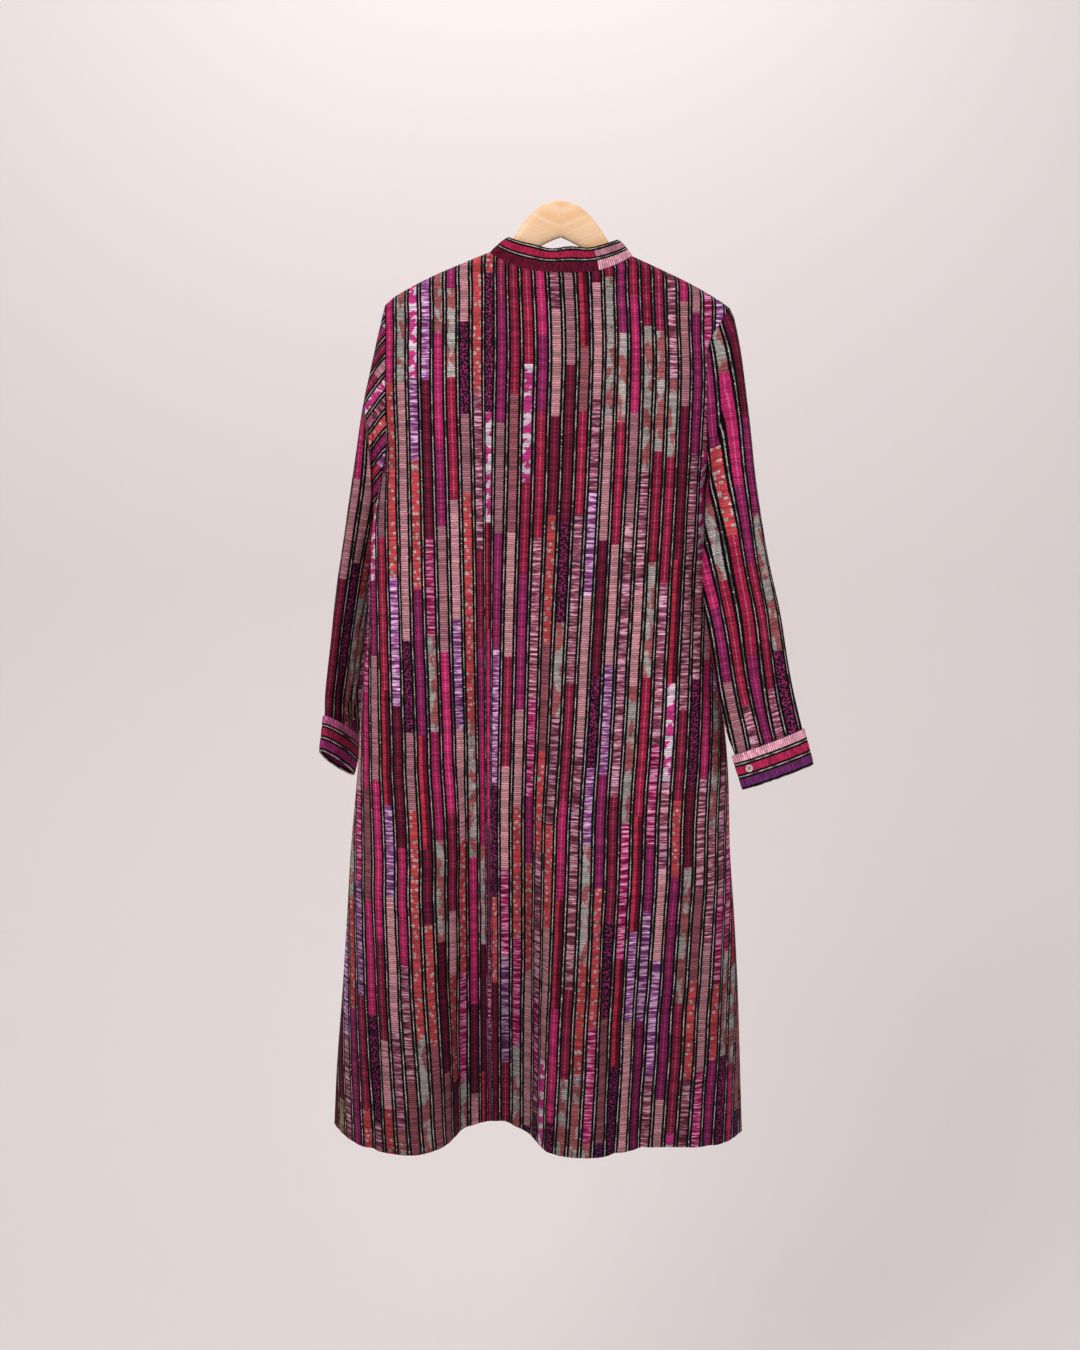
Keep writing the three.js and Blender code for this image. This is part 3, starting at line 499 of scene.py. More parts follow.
def crease_depth(face, x, z):
    """How far the creases move the cloth outward at a place of the garment's plane."""
    total = np.zeros(x.shape)
    rows = CREASES[face]
    for i in range(len(rows["depth"])):
        row = {name: rows[name][i] for name in rows}
        line = table("z x", *[(row[f"z{k}"], row[f"x{k}"]) for k in (1, 2, 3)])
        run = (row["z1"] - z) / (row["z1"] - row["z3"])
        start = smooth(run / CREASE_FADE)
        end = 1.0 if row["open"] else smooth((1 - run) / CREASE_FADE)
        wander = CREASE_WANDER * np.sin(z / CREASE_WAVE + 1.7 * i)
        offset = x - curve(line, "z", "x")(z) - wander
        total += row["depth"] * start * end * trough(offset, row["width"])
    return total


def panel_grid(face, across_top, across, down):
    """The outer face of a panel, with its creases and the fine unevenness of the cloth."""
    grid = panel_point(face, across, down, across_top)
    x, z = grid[..., 0], grid[..., 2]
    fade = smooth((1 - np.abs(across)) / 0.05) * smooth(down / 0.035)
    moved = crease_depth(face, x, z) * fade
    for height, long_across, long_down, seed in UNEVENNESS:
        moved += height * ripple(x / long_across, z / long_down, seed) * fade
    grid[..., 1] += FACE_SIGN[face] * moved
    return grid


def cloth_across(grid, down):
    """Distance across the cloth along each row, from the grain line that hangs straight."""
    step = np.linalg.norm(np.diff(grid, axis=1) * (1, FOLD_SHARE, 1), axis=2)
    length = np.concatenate([np.zeros((len(grid), 1)), np.cumsum(step, axis=1)], axis=1)
    anchor = np.array([np.interp(ANCHOR_X, row[:, 0], far) for row, far in zip(grid, length)])
    far = length - anchor[:, None]
    tuck = np.where(far < 0, TUCK["left"], TUCK["right"]) * np.tanh(far / TUCK_WIDTH)
    swallowed = np.clip((down - TUCK_RUN[0]) / (TUCK_RUN[1] - TUCK_RUN[0]), 0, 1)
    return far * (CHEST_EASE + TAKE_UP * smooth(down / TAKE_UP_END)) + tuck * swallowed


def hem_relief(down):
    """The turned-up hem: a second layer of cloth inside and a row of stitches at its edge."""
    from_hem = (1 - down) / HEM_TURN
    thickened = HEM_LAYER * smooth((1 - from_hem) / 0.1 + 0.5)
    return thickened - HEM_STITCH * bell((from_hem - 0.9) / 0.12)


def strip_relief(u):
    """How far the cloth stands out at a place across its strips."""
    place = np.mod(u, PITCH)
    return STRIP_HEIGHT * smooth(place / STRIP_EDGE) * smooth((STRIP - place) / STRIP_EDGE)


def wall_geometry(name, outer, inner, cloth, wrapped=False):
    """A closed wall between two grids. cloth gives each grid corner its place on the cloth."""
    rows, columns = outer.shape[:2]
    last = columns if wrapped else columns - 1
    r, c = np.meshgrid(np.arange(rows - 1), np.arange(last), indexing="ij")
    corner_r = np.stack([r, r, r + 1, r + 1], -1).reshape(-1, 4)
    corner_c = np.stack([c, c + 1, c + 1, c], -1).reshape(-1, 4)
    layer = np.zeros_like(corner_r)
    sides = [(corner_r, corner_c, layer), (corner_r[:, ::-1], corner_c[:, ::-1], layer + 1)]

    def rim(r_pair, c_pair, count):
        a = np.zeros((count, 1), int)
        rs = np.concatenate([r_pair[0] + a, r_pair[1] + a, r_pair[1] + a, r_pair[0] + a], 1)
        cs = np.concatenate([c_pair[0] + a, c_pair[1] + a, c_pair[1] + a, c_pair[0] + a], 1)
        return rs, cs, np.concatenate([a, a, a + 1, a + 1], 1)

    along = np.arange(last)[:, None]
    down = np.arange(rows - 1)[:, None]
    sides.append(rim((0, 0), (along + 1, along), last))
    sides.append(rim((rows - 1, rows - 1), (along, along + 1), last))
    if not wrapped:
        sides.append(rim((down, down + 1), (0, 0), rows - 1))
        sides.append(rim((down + 1, down), (columns - 1, columns - 1), rows - 1))
    all_r, all_c, all_layer = (np.concatenate([side[k] for side in sides]) for k in range(3))
    vertex = all_layer * rows * columns + all_r * columns + all_c % columns
    place = cloth[all_r, np.minimum(all_c, cloth.shape[1] - 1)]
    everything = np.concatenate([outer.reshape(-1, 3), inner.reshape(-1, 3)])
    return mesh_object(name, everything, vertex, place)


def signed_volume(verts, faces):
    a, b, c, d = (verts[faces[:, k]] for k in range(4))
    first = np.einsum("ij,ij->i", a, np.cross(b, c))
    second = np.einsum("ij,ij->i", a, np.cross(c, d))
    return (first + second).sum()


def mesh_object(name, verts, quads, cloth=None):
    """An object from points in mm and four-sided faces, with cloth places as its UV map."""
    if signed_volume(verts, quads) < 0:
        quads = quads[:, ::-1]
        cloth = None if cloth is None else cloth[:, ::-1]
    mesh = bpy.data.meshes.new(name)
    mesh.vertices.add(len(verts))
    mesh.vertices.foreach_set("co", (verts * MM).astype(np.float32).ravel())
    mesh.loops.add(quads.size)
    mesh.loops.foreach_set("vertex_index", quads.astype(np.int32).ravel())
    mesh.polygons.add(len(quads))
    mesh.polygons.foreach_set("loop_start", np.arange(0, quads.size, 4, dtype=np.int32))
    mesh.update(calc_edges=True)
    if cloth is not None:
        layer = mesh.uv_layers.new(name="cloth")
        layer.uv.foreach_set("vector", (cloth * MM).astype(np.float32).ravel())
    mesh.validate()
    mesh.shade_smooth()
    mesh.set_sharp_from_angle(angle=SHARP_EDGE)
    return placed(name, mesh)


def placed(name, data):
    """A new object of the scene that shows a mesh, a light or a camera."""
    thing = bpy.data.objects.new(name, data)
    bpy.context.scene.collection.objects.link(thing)
    return thing


def panel_object(face):
    count = PANEL_COLUMNS
    top = top_columns(count)[None, :]
    hem = hem_columns(face, count)[None, :]
    down = panel_rows()[:, None]
    across = mix(top, hem, smooth(down))
    plain = panel_grid(face, top, across, down)
    u = cloth_across(plain, down)
    v = np.broadcast_to(-plain[..., 2], u.shape)
    outward = FACE_SIGN[face]
    normal = outward * grid_normals(plain)
    inner = plain - CLOTH * normal
    fade = smooth((1 - np.abs(across)) / 0.02) * smooth(down / 0.01)
    outer = plain + ((strip_relief(u) + hem_relief(down)) * fade)[..., None] * normal
    inner[..., 1] = outward * np.maximum(SEAM_GAP / 2, outward * inner[..., 1])
    trim_neck(face, plain, inner)
    trim_sides(plain, inner)
    return wall_geometry(f"{face}_cloth", outer, inner, np.stack([u, v], -1))


def trim_neck(face, outer, inner):
    """Keeps the inner layer inside the neckline's own edge."""
    share = neck_share(outer[0, :, 0])
    at_neck = share > 0
    sign = FACE_SIGN[face]
    inner[0, at_neck, 0] = outer[0, at_neck, 0]
    inner[0, at_neck, 1] = sign * (sign * outer[0, at_neck, 1] - CLOTH * share[at_neck])
    inner[0, at_neck, 2] = outer[0, at_neck, 2] - CLOTH * (1 - share[at_neck])


def trim_sides(outer, inner):
    """Keeps the inner layer inside the armhole and side-seam edges."""
    for column, inward in ((0, CLOTH), (-1, -CLOTH)):
        inner[:ARMHOLE_ROWS, column, 0] = outer[:ARMHOLE_ROWS, column, 0]
        inner[ARMHOLE_ROWS:, column] = outer[ARMHOLE_ROWS:, column] + (inward, 0, 0)


# ---- sleeves and cuffs ----
def sleeve_frame(side):
    """Reads a sleeve's section: its centre, its long half axis and its short one."""
    read = {name: curve(SLEEVE[side], "along", name) for name in SLEEVE_COLUMNS.split()[1:]}

    def at(along):
        high = points(*(read[f"outer_{k}"](along) for k in "xyz"))
        low = points(*(read[f"inner_{k}"](along) for k in "xyz"))
        long = (high - low) / 2
        turned = np.radians(read["turn"](along))
        short = points(np.sin(turned), -np.cos(turned), 0.0)
        axis = unit(long)
        short = unit(short - axis * (short * axis).sum(-1, keepdims=True))
        return {
            "centre": (high + low) / 2,
            "axis": axis,
            "half_long": np.linalg.norm(long, axis=-1),
            "short": short,
            "half_short": read["thick"](along) / 2,
        }

    return at


def fold_depth(rows, along, angle):
    """How far a table of folds moves a sleeve's surface outward."""
    degrees = np.degrees(angle) % 360
    total = np.zeros(np.broadcast(along, angle).shape)
    for i in range(len(rows["depth"])):
        row = {name: rows[name][i] for name in rows}
        run = np.clip((along - row["start"]) / (row["end"] - row["start"]), 0, 1)
        crest = mix(row["angle_start"], row["angle_end"], run)
        fade = np.sin(np.pi * run) ** 0.7
        total += row["depth"] * fade * bell((degrees - crest) / row["width"])
    return total


def tube_point(frame, angle, inset):
    """Points of the tube at an angle round its section, moved in by inset."""
    long = ((frame["half_long"] - inset) * np.cos(angle))[..., None]
    short = ((frame["half_short"] - inset) * np.sin(angle))[..., None]
    return frame["centre"] + frame["axis"] * long + frame["short"] * short


def armhole_ring(side, inset):
    """The sleeve's first ring lies along the armhole edges of the two body panels."""
    edge = SLEEVE_EDGE[side]
    step = np.arange(RING_STEPS)
    row = np.where(step <= ARMHOLE_ROWS, step, RING_STEPS - step)
    down = panel_rows()[row]
    back = panel_point("back", float(edge), down, float(edge))
    front = panel_point("front", float(edge), down, float(edge))
    ring = np.where((step <= ARMHOLE_ROWS)[:, None], back, front)
    angle = 2 * np.pi * step / RING_STEPS
    ring[:, 0] += edge * SEAM_GAP * 2
    ring[:, 1] += inset * np.sin(angle)
    ring[:, 2] -= inset * np.cos(angle)
    return np.roll(ring, ARMHOLE_ROWS, axis=0)


def sleeve_grid(side, inset, creased=True):
    """Rings from the inner edge over the front to the outer edge and back over the back."""
    angle = (2 * np.pi * np.arange(RING_STEPS) / RING_STEPS - np.pi)[None, :]
    along = np.linspace(SLEEVE_START, 1, SLEEVE_ROWS)[:, None]
    out = fold_depth(SLEEVE_FOLDS[side], along, angle)
    if creased:
        out = out + fold_depth(SLEEVE_CREASES[side], along, angle)
    waves = ripple(along * 30, 3 * np.cos(angle) + 5 * np.sin(angle), 23)
    out = out + SLEEVE_UNEVENNESS * waves
    frame = sleeve_frame(side)(np.broadcast_to(along, (SLEEVE_ROWS, 1)))
    tube = tube_point(frame, angle, inset - out)
    leaning = bell((along - UNDERARM_LEAN_AT) / UNDERARM_LEAN_SPAN)
    inward = ((1 - np.cos(angle)) / 2) ** 2 * leaning
    tube[..., 0] -= SLEEVE_EDGE[side] * UNDERARM_LEAN[side] * inward
    share = np.linspace(0, 1, SLEEVE_HEAD_ROWS, endpoint=False)[:, None, None]
    head = mix(armhole_ring(side, inset)[None], tube[:1], share)
    return np.concatenate([head, tube])


def sleeve_cloth(grid):
    """Places on the flat cloth of a sleeve: how far from the outer edge, and how far down it."""
    edge = grid[:, ARMHOLE_ROWS]
    run = run_along(edge)
    ahead = unit(np.gradient(edge, axis=0))
    away = grid[:, :, None] - edge
    nearest = (away**2).sum(-1).argmin(-1)
    away = grid - edge[nearest]
    further = (away * ahead[nearest]).sum(-1)
    far = np.linalg.norm(away - further[..., None] * ahead[nearest], axis=-1)
    side = np.where(np.arange(grid.shape[1]) < ARMHOLE_ROWS, -1, 1)
    return far * side, run[nearest] + further


def sleeve_object(side):
    outer, inner = (sleeve_grid(side, inset) for inset in (0.0, CLOTH))
    plain = sleeve_grid(side, 0.0, creased=False)
    closed = np.concatenate([plain, plain[:, :1]], axis=1)
    u, v = sleeve_cloth(closed)
    if side == "left":
        u, v = turned_cap(closed, u, v)
    cloth = np.stack([u + CLOTH_START[f"sleeve_{side}"], v + 100], -1)
    relief = 0.8 * strip_relief(cloth[:, :-1, :1])
    outer = outer + relief * unit(outer - outer.mean(1, keepdims=True))
    return wall_geometry(f"sleeve_{side}_cloth", outer, inner, cloth, wrapped=True)


CAP_CORNER = (-205, -130)  # x and z where the left sleeve's head meets the shoulder
CAP_SLANT = math.radians(43)
CAP_BEND = 0.008
CAP_END = 0.27  # share of the rows where the slanting strips end in a fold
CAP_END_WAVE = 0.05  # how far that fold swings up and down


def turned_cap(grid, u, v):
    """The left sleeve's head is drawn forward, so its strips run aslant down to a dark fold."""
    x, z = grid[..., 0] - CAP_CORNER[0], grid[..., 2] - CAP_CORNER[1]
    rows = np.linspace(0, 1, len(grid))[:, None]
    slant_u = (z + CAP_BEND * x**2) * np.cos(CAP_SLANT) - x * np.sin(CAP_SLANT)
    slant_v = x * np.cos(CAP_SLANT) + z * np.sin(CAP_SLANT)
    border = CAP_END + CAP_END_WAVE * np.sin(np.pi * (x + 45) / 60)
    share = smooth((rows - border) / 0.02 + 0.5)
    return mix(slant_u, u, share), mix(slant_v, v, share)


# Each piece takes its strips from another place of the same long cloth.
CLOTH_START = {
    "back": 0.0,
    "front": 60 * PITCH,
    "sleeve_left": 120 * PITCH + 3,
    "sleeve_right": 170 * PITCH + 7,
    "placket": 220 * PITCH,
}

CUFF_ROWS = 36
CUFF_STEPS = 190
CUFF_START = {"left": 0, "right": 400}  # where along the long band each cuff begins


def cuff_point(side, turn, along, inset):
    """The cuff is wound once round the wrist, and its ends lap at the inner edge."""
    lap = SLEEVE_EDGE[side]
    sweep = 2 * np.pi + CUFF_LAP
    rise = CUFF_LAP_RISE * turn * sweep / (2 * np.pi)
    angle = lap * (np.pi - CUFF_LAP + turn * sweep - 0.05)
    frame = sleeve_frame(side)(np.broadcast_to(along, np.broadcast(along, turn).shape))
    return tube_point(frame, angle, inset - rise)


def cuff_object(side):
    turn = np.linspace(0, 1, CUFF_STEPS)[None, :]
    along = np.linspace(1 + CUFF_SEAM, CUFF_RIM, CUFF_ROWS)[:, None]
    share = np.linspace(0, 1, CUFF_ROWS)[:, None]
    stitched = stitch_rows(share, (0.1, 0.92), 0.025)
    waves = 0.25 * ripple(turn * 40, share * 4, 31)
    raised = soft_edges(share, 0.06) * (0.3 + waves) - 0.35 * stitched
    raised = raised + 0.25 * band_relief(share, CUFF_BANDS)
    outer = cuff_point(side, turn, along, -raised)
    inner = cuff_point(side, turn, along, np.full_like(raised, BAND))
    length = run_along(outer[CUFF_ROWS // 2])[None, :] + CUFF_START[side]
    place = np.stack(np.broadcast_arrays(share * 100, length), -1)
    return wall_geometry(f"cuff_{side}_cloth", outer, inner, place)


def band_relief(share, bands):
    """Coloured bands stand a little above the black ones."""
    ends = np.cumsum([row[0] for row in bands])
    kinds = np.array([row[3] for row in bands])
    index = np.clip(np.searchsorted(ends, share * ends[-1]), 0, len(bands) - 1)
    return np.where(kinds[index] == "black", 0.0, 1.0)


# ---- collar ----
COLLAR_ROWS = 30
COLLAR_STEPS = 260
COLLAR_LAP_OUT = 0.7  # the collar's lower edge is turned under and lies over the panels
COLLAR_LAP_DOWN = 1.6
COLLAR_BACK = 900  # where along the long band the middle of the collar's back lies


def collar_grid():
    turn = np.linspace(0, 2 * np.pi, COLLAR_STEPS + 1)[None, :]
    share = np.linspace(0, 1, COLLAR_ROWS)[:, None]
    at_front = np.cos(turn) > 0
    across = across_at(NECK_CENTRE + NECK_HALF_WIDTH * np.sin(turn))
    bases = {face: panel_point(face, across, 0.0, across) for face in FACE_SIGN}
    base = np.where(at_front[..., None], bases["front"], bases["back"])
    depth = np.abs(np.cos(turn))
    outward = np.sin(turn)
    x = COLLAR_TOP_CENTRE + COLLAR_TOP_HALF_WIDTH * outward
    wave = np.where(at_front, 0, COLLAR_WAVE * depth * np.sin(x / 8) * bell(x / 45))
    tops = {face: COLLAR_TOP[face] for face in FACE_SIGN}

    def pick(name):
        return np.where(at_front, tops["front"][name], tops["back"][name])

    level = mix(pick("level"), COLLAR_SIDE_LEVEL, np.abs(outward) ** pick("power")) + wave
    sign = np.where(at_front, 1, -1)
    rim = points(x, sign * pick("depth") * depth, level - TILT * x)
    lifted = base + COLLAR_BASE_GAP * unit(rim - base)
    grid = mix(lifted, rim, share[..., None])
    swell = COLLAR_SWELL * np.sin(np.pi * share)
    grid[..., 0] += swell * outward
    grid[..., 1] += swell * sign * depth
    grid[:, 0, 0] += COLLAR_FRONT_GAP / 2
    grid[:, -1, 0] -= COLLAR_FRONT_GAP / 2
    return grid, share


def collar_object():
    grid, share = collar_grid()
    centre = grid.mean((0, 1))
    normal = grid_normals(grid)
    if (normal * (grid - centre)).sum() < 0:
        normal = -normal
    stitched = stitch_rows(share, (0.07, 0.93), 0.03)
    step = np.linspace(0, 60, grid.shape[1])[None, :]
    waves = 0.3 * ripple(step, share * 4, 41)
    raised = soft_edges(share, 0.06) * (0.35 + waves) - 0.3 * stitched
    raised = raised + 0.3 * band_relief(1 - share, COLLAR_BANDS)
    lapped = 1 - smooth(share / 0.1)
    outer = grid + (raised + COLLAR_LAP_OUT * lapped)[..., None] * normal
    outer[..., 2] -= COLLAR_LAP_DOWN * lapped
    inner = grid - BAND * normal
    inner[0, :, 2] += COLLAR_INNER_LIFT
    inner[:, (0, -1), 0] = grid[:, (0, -1), 0]
    length = run_along(grid[COLLAR_ROWS // 2])[None, :]
    from_back = length - length[0, COLLAR_STEPS // 2]
    place = np.stack(np.broadcast_arrays((1 - share) * 100, COLLAR_BACK - from_back), -1)
    return wall_geometry("collar_cloth", outer, inner, place)


# ---- front placket ----
PLACKET_CENTRE = COARSE_COLUMNS / 2
PLACKET_COLUMNS = 22
PLACKET_ROWS = 120
PLACKET_END = UNDERARM + (1 - UNDERARM) * 2 / COARSE_SKIRT_ROWS


def placket_object():
    """The strip over the front's closed neck slit, made from the front panel's own points."""
    fine = top_columns(COARSE_COLUMNS * PLACKET_COLUMNS // 2)
    first = int((PLACKET_CENTRE - 1) * PLACKET_COLUMNS / 2)
    top = fine[first : first + PLACKET_COLUMNS + 1][None, :]
    coarse = hem_columns("front", COARSE_COLUMNS)
    place = np.linspace(PLACKET_CENTRE - 1, PLACKET_CENTRE + 1, PLACKET_COLUMNS + 1)
    hem = np.interp(place, np.arange(COARSE_COLUMNS + 1), coarse)[None, :]
    down = np.linspace(0, PLACKET_END, PLACKET_ROWS)[:, None]
    across = mix(top, hem, smooth(down))
    panel = panel_grid("front", top, across, down)
    normal = grid_normals(panel)
    normal *= np.sign(normal[..., 1:2])
    u = np.linspace(0, 1, PLACKET_COLUMNS + 1)[None, :]
    stitched = stitch_rows(u, (0.12, 0.88), 0.04)
    lift = 2 * SEAM_GAP + CLOTH + 0.35 * soft_edges(u, 0.08) - 0.3 * stitched
    outer = panel + lift[..., None] * normal
    inner = panel + 2 * SEAM_GAP * normal
    width = np.linalg.norm(panel[:, -1] - panel[:, 0], axis=1)[:, None]
    cloth_u = CLOTH_START["placket"] + 3 + u * width
    cloth = np.stack(np.broadcast_arrays(cloth_u, -panel[..., 2]), -1)
    return wall_geometry("placket_cloth", outer, inner, cloth)


# ---- hanger ----
HANGER_SECTIONS = 110
HANGER_SECTION_POINTS = 40


def hanger_object(side, edge):
    out = np.linspace(HANGER["out"][0], HANGER["out"][-1], HANGER_SECTIONS)[:, None]
    top, bottom, half = (curve(HANGER, "out", name)(out) for name in ("top", "bottom", "half"))
    angle = np.linspace(0, 2 * np.pi, HANGER_SECTION_POINTS, endpoint=False)[None, :]
    cos, sin = np.cos(angle), np.sin(angle)
    y = half * np.sign(sin) * np.abs(sin) ** HANGER_ROUNDNESS
    z = (top - bottom) / 2 * np.sign(cos) * np.abs(cos) ** HANGER_ROUNDNESS
    x = edge * out
    verts = points(x, y, (top + bottom) / 2 + z - TILT * x).reshape(-1, 3)
    n = HANGER_SECTION_POINTS
    section, point = np.meshgrid(np.arange(HANGER_SECTIONS - 1), np.arange(n), indexing="ij")
    a = section * n + point
    b = section * n + (point + 1) % n
    quads = np.stack([a, b, b + n, a + n], -1).reshape(-1, 4)
    caps = []
    for start in (0, (HANGER_SECTIONS - 1) * n):
        for k in range(n // 2 - 1):
            caps.append([start + k, start + k + 1, start + n - 2 - k, start + n - 1 - k])
    return mesh_object(f"hanger_{side}_wood", verts, np.concatenate([quads, orient(caps, n)]))


def orient(caps, count):
    """The two end caps face opposite ways."""
    caps = np.array(caps)
    first = caps[:, 0] < count
    return np.where(first[:, None], caps[:, ::-1], caps)


# ---- buttons ----
BUTTON_RADIUS = 4.4
BUTTON_THICKNESS = 2.2
BUTTON_SIDES = 48
BUTTON_PROFILE = (
    (0.0, 0.0), (0.6, 0.0), (0.86, 0.06), (0.97, 0.26), (1.0, 0.5), (0.98, 0.78), (0.92, 0.95),
    (0.84, 1.0), (0.76, 0.97), (0.69, 0.86), (0.62, 0.74), (0.52, 0.68), (0.3, 0.66), (0.0, 0.65),
)
BUTTON_SHARP_EDGE = math.radians(40)
HOLE_OFFSET = 1.05
HOLE_RADIUS = 0.5
HOLE_SIDES = 16
THREAD_RADIUS = 0.3
THREAD_SIDES = 8
THREAD_SHANK = 1.2


def button_mesh():
    """A turned shell button with a dished face and four drilled holes."""
    profile = np.array(BUTTON_PROFILE) * (BUTTON_RADIUS, BUTTON_THICKNESS)
    angle = np.linspace(0, 2 * np.pi, BUTTON_SIDES, endpoint=False)
    verts = [(0, 0, profile[0][1]), (0, 0, profile[-1][1])]
    for radius, height in profile[1:-1]:
        verts += [(radius * math.cos(a), radius * math.sin(a), height) for a in angle]
    faces = []
    rings = len(profile) - 2
    for i in range(BUTTON_SIDES):
        j = (i + 1) % BUTTON_SIDES
        faces.append((0, 2 + j, 2 + i))
        for ring in range(rings - 1):
            low, high = 2 + ring * BUTTON_SIDES, 2 + (ring + 1) * BUTTON_SIDES
            faces.append((low + i, low + j, high + j, high + i))
        last = 2 + (rings - 1) * BUTTON_SIDES
        faces.append((1, last + i, last + j))
    mesh = bpy.data.meshes.new("button")
    mesh.from_pydata((np.array(verts) * MM).tolist(), [], faces)
    body = placed("button_blank", mesh)
    drills = drill_object()
    cut = body.modifiers.new("holes", "BOOLEAN")
    cut.operation = "DIFFERENCE"
    cut.solver = "EXACT"
    cut.object = drills
    shown = body.evaluated_get(bpy.context.evaluated_depsgraph_get())
    drilled = bpy.data.meshes.new_from_object(shown)
    drilled.shade_smooth()
    drilled.set_sharp_from_angle(angle=BUTTON_SHARP_EDGE)
    bpy.data.objects.remove(body)
    bpy.data.objects.remove(drills)
    return drilled


def drill_object():
    """Four round rods that the button's holes are cut with."""
    verts, faces = [], []
    n = HOLE_SIDES
    turns = [2 * math.pi * k / n for k in range(n)]
    for dx, dy in ((1, 1), (1, -1), (-1, -1), (-1, 1)):
        start = len(verts)
        for height in (-1, BUTTON_THICKNESS + 1):
            for a in turns:
                x = dx * HOLE_OFFSET + HOLE_RADIUS * math.cos(a)
                y = dy * HOLE_OFFSET + HOLE_RADIUS * math.sin(a)
                verts.append((x * MM, y * MM, height * MM))
        add_tube_faces(faces, start, 2, n)
    mesh = bpy.data.meshes.new("drills")
    mesh.from_pydata(verts, [], faces)
    return placed("drills", mesh)


def add_tube_faces(faces, start, rings, sides):
    """Adds the faces of a closed tube whose rings of points begin at start."""
    for ring in range(rings - 1):
        low = start + ring * sides
        for k in range(sides):
            n = (k + 1) % sides
            faces.append((low + k, low + n, low + sides + n, low + sides + k))
    last = start + (rings - 1) * sides
    faces.append(tuple(start + k for k in reversed(range(sides))))
    faces.append(tuple(last + k for k in range(sides)))


def thread_mesh():
    """Two crossing stitches through a button's holes, and the shank below them."""
    verts, faces = [], []
    for sign in (1, -1):
        line = []
        for t in np.linspace(-1, 1, 9):
            x = t * HOLE_OFFSET
            y = sign * t * HOLE_OFFSET
            z = BUTTON_THICKNESS * 0.66 + 0.5 * (1 - t**4) + (0.12 if sign > 0 else -0.05)
            line.append(Vector((x, y, z)))
        line.insert(0, line[0] - Vector((0, 0, THREAD_SHANK)))
        line.append(line[-1] - Vector((0, 0, THREAD_SHANK)))
        add_tube(verts, faces, line, THREAD_RADIUS, THREAD_SIDES)
    mesh = bpy.data.meshes.new("button_thread")
    mesh.from_pydata([tuple(v * MM) for v in verts], [], faces)
    mesh.shade_smooth()
    return mesh


def add_tube(verts, faces, line, radius, sides):
    """Adds a closed round tube along a line of points."""
    start = len(verts)
    for i, point in enumerate(line):
        ahead = line[min(i + 1, len(line) - 1)] - line[max(i - 1, 0)]
        turn = ahead.to_track_quat("Z", "Y")
        for k in range(sides):
            a = 2 * math.pi * k / sides
            verts.append(point + turn @ Vector((radius * math.cos(a), radius * math.sin(a), 0)))
    add_tube_faces(faces, start, len(line), sides)


def button_place(node, away_from):
    """Where the CAD button lies: the middle of its underside, and its axis."""
    co = np.array([v.co for v in frame["nodes"][node].data.vertices], float)
    centre = (co.min(0) + co.max(0)) / 2
    axis = np.linalg.svd(co - co.mean(0))[2][2]
    if np.dot(axis, centre - np.array(away_from)) < 0:
        axis = -axis
    along = (co - centre) @ axis
    foot = centre + axis * along.min()
    turn = Vector(axis).to_track_quat("Z", "Y").to_matrix().to_4x4()
    return Matrix.Translation(Vector(foot)) @ turn


# ---- materials ----
def colour(code):
    """A colour given as an sRGB hex code, in the renderer's linear values."""
    parts = [int(code[k : k + 2], 16) / 255 for k in (0, 2, 4)]
    linear = [p / 12.92 if p <= 0.04045 else ((p + 0.055) / 1.055) ** 2.4 for p in parts]
    return (*linear, 1.0)


def operation(name, swapped=False):
    """A sum of a Field with another Field or a number, as one node of its material."""

    def reckon(self, other=0.0):
        values = (other, self) if swapped else (self, other)
        return self.build.math(name, *values)

    return reckon


class Field:
    """A value that varies over a surface, used in sums like a number."""

    def __init__(self, build, socket):
        self.build = build
        self.socket = socket

    __add__ = __radd__ = operation("ADD")
    __sub__ = operation("SUBTRACT")
    __rsub__ = operation("SUBTRACT", swapped=True)
    __mul__ = __rmul__ = operation("MULTIPLY")
    __truediv__ = operation("DIVIDE")
    __abs__ = operation("ABSOLUTE")
    floor = operation("FLOOR")
    fract = operation("FRACT")
    above = operation("GREATER_THAN")
    least = operation("MINIMUM")
    most = operation("MAXIMUM")

    def rise(self, low, high):
        """0 below low, 1 above high, smooth between."""
        inputs = {"Value": self, "From Min": low, "From Max": high}
        return self.build.add("MapRange", inputs, interpolation_type="SMOOTHSTEP")

    def fall(self, low, high):
        return 1.0 - self.rise(low, high)

    def equals(self, value, within):
        return self.build.math("COMPARE", self, value, within)

    def output(self, name):
        """Another output of the same node."""
        return Field(self.build, self.socket.node.outputs[name])


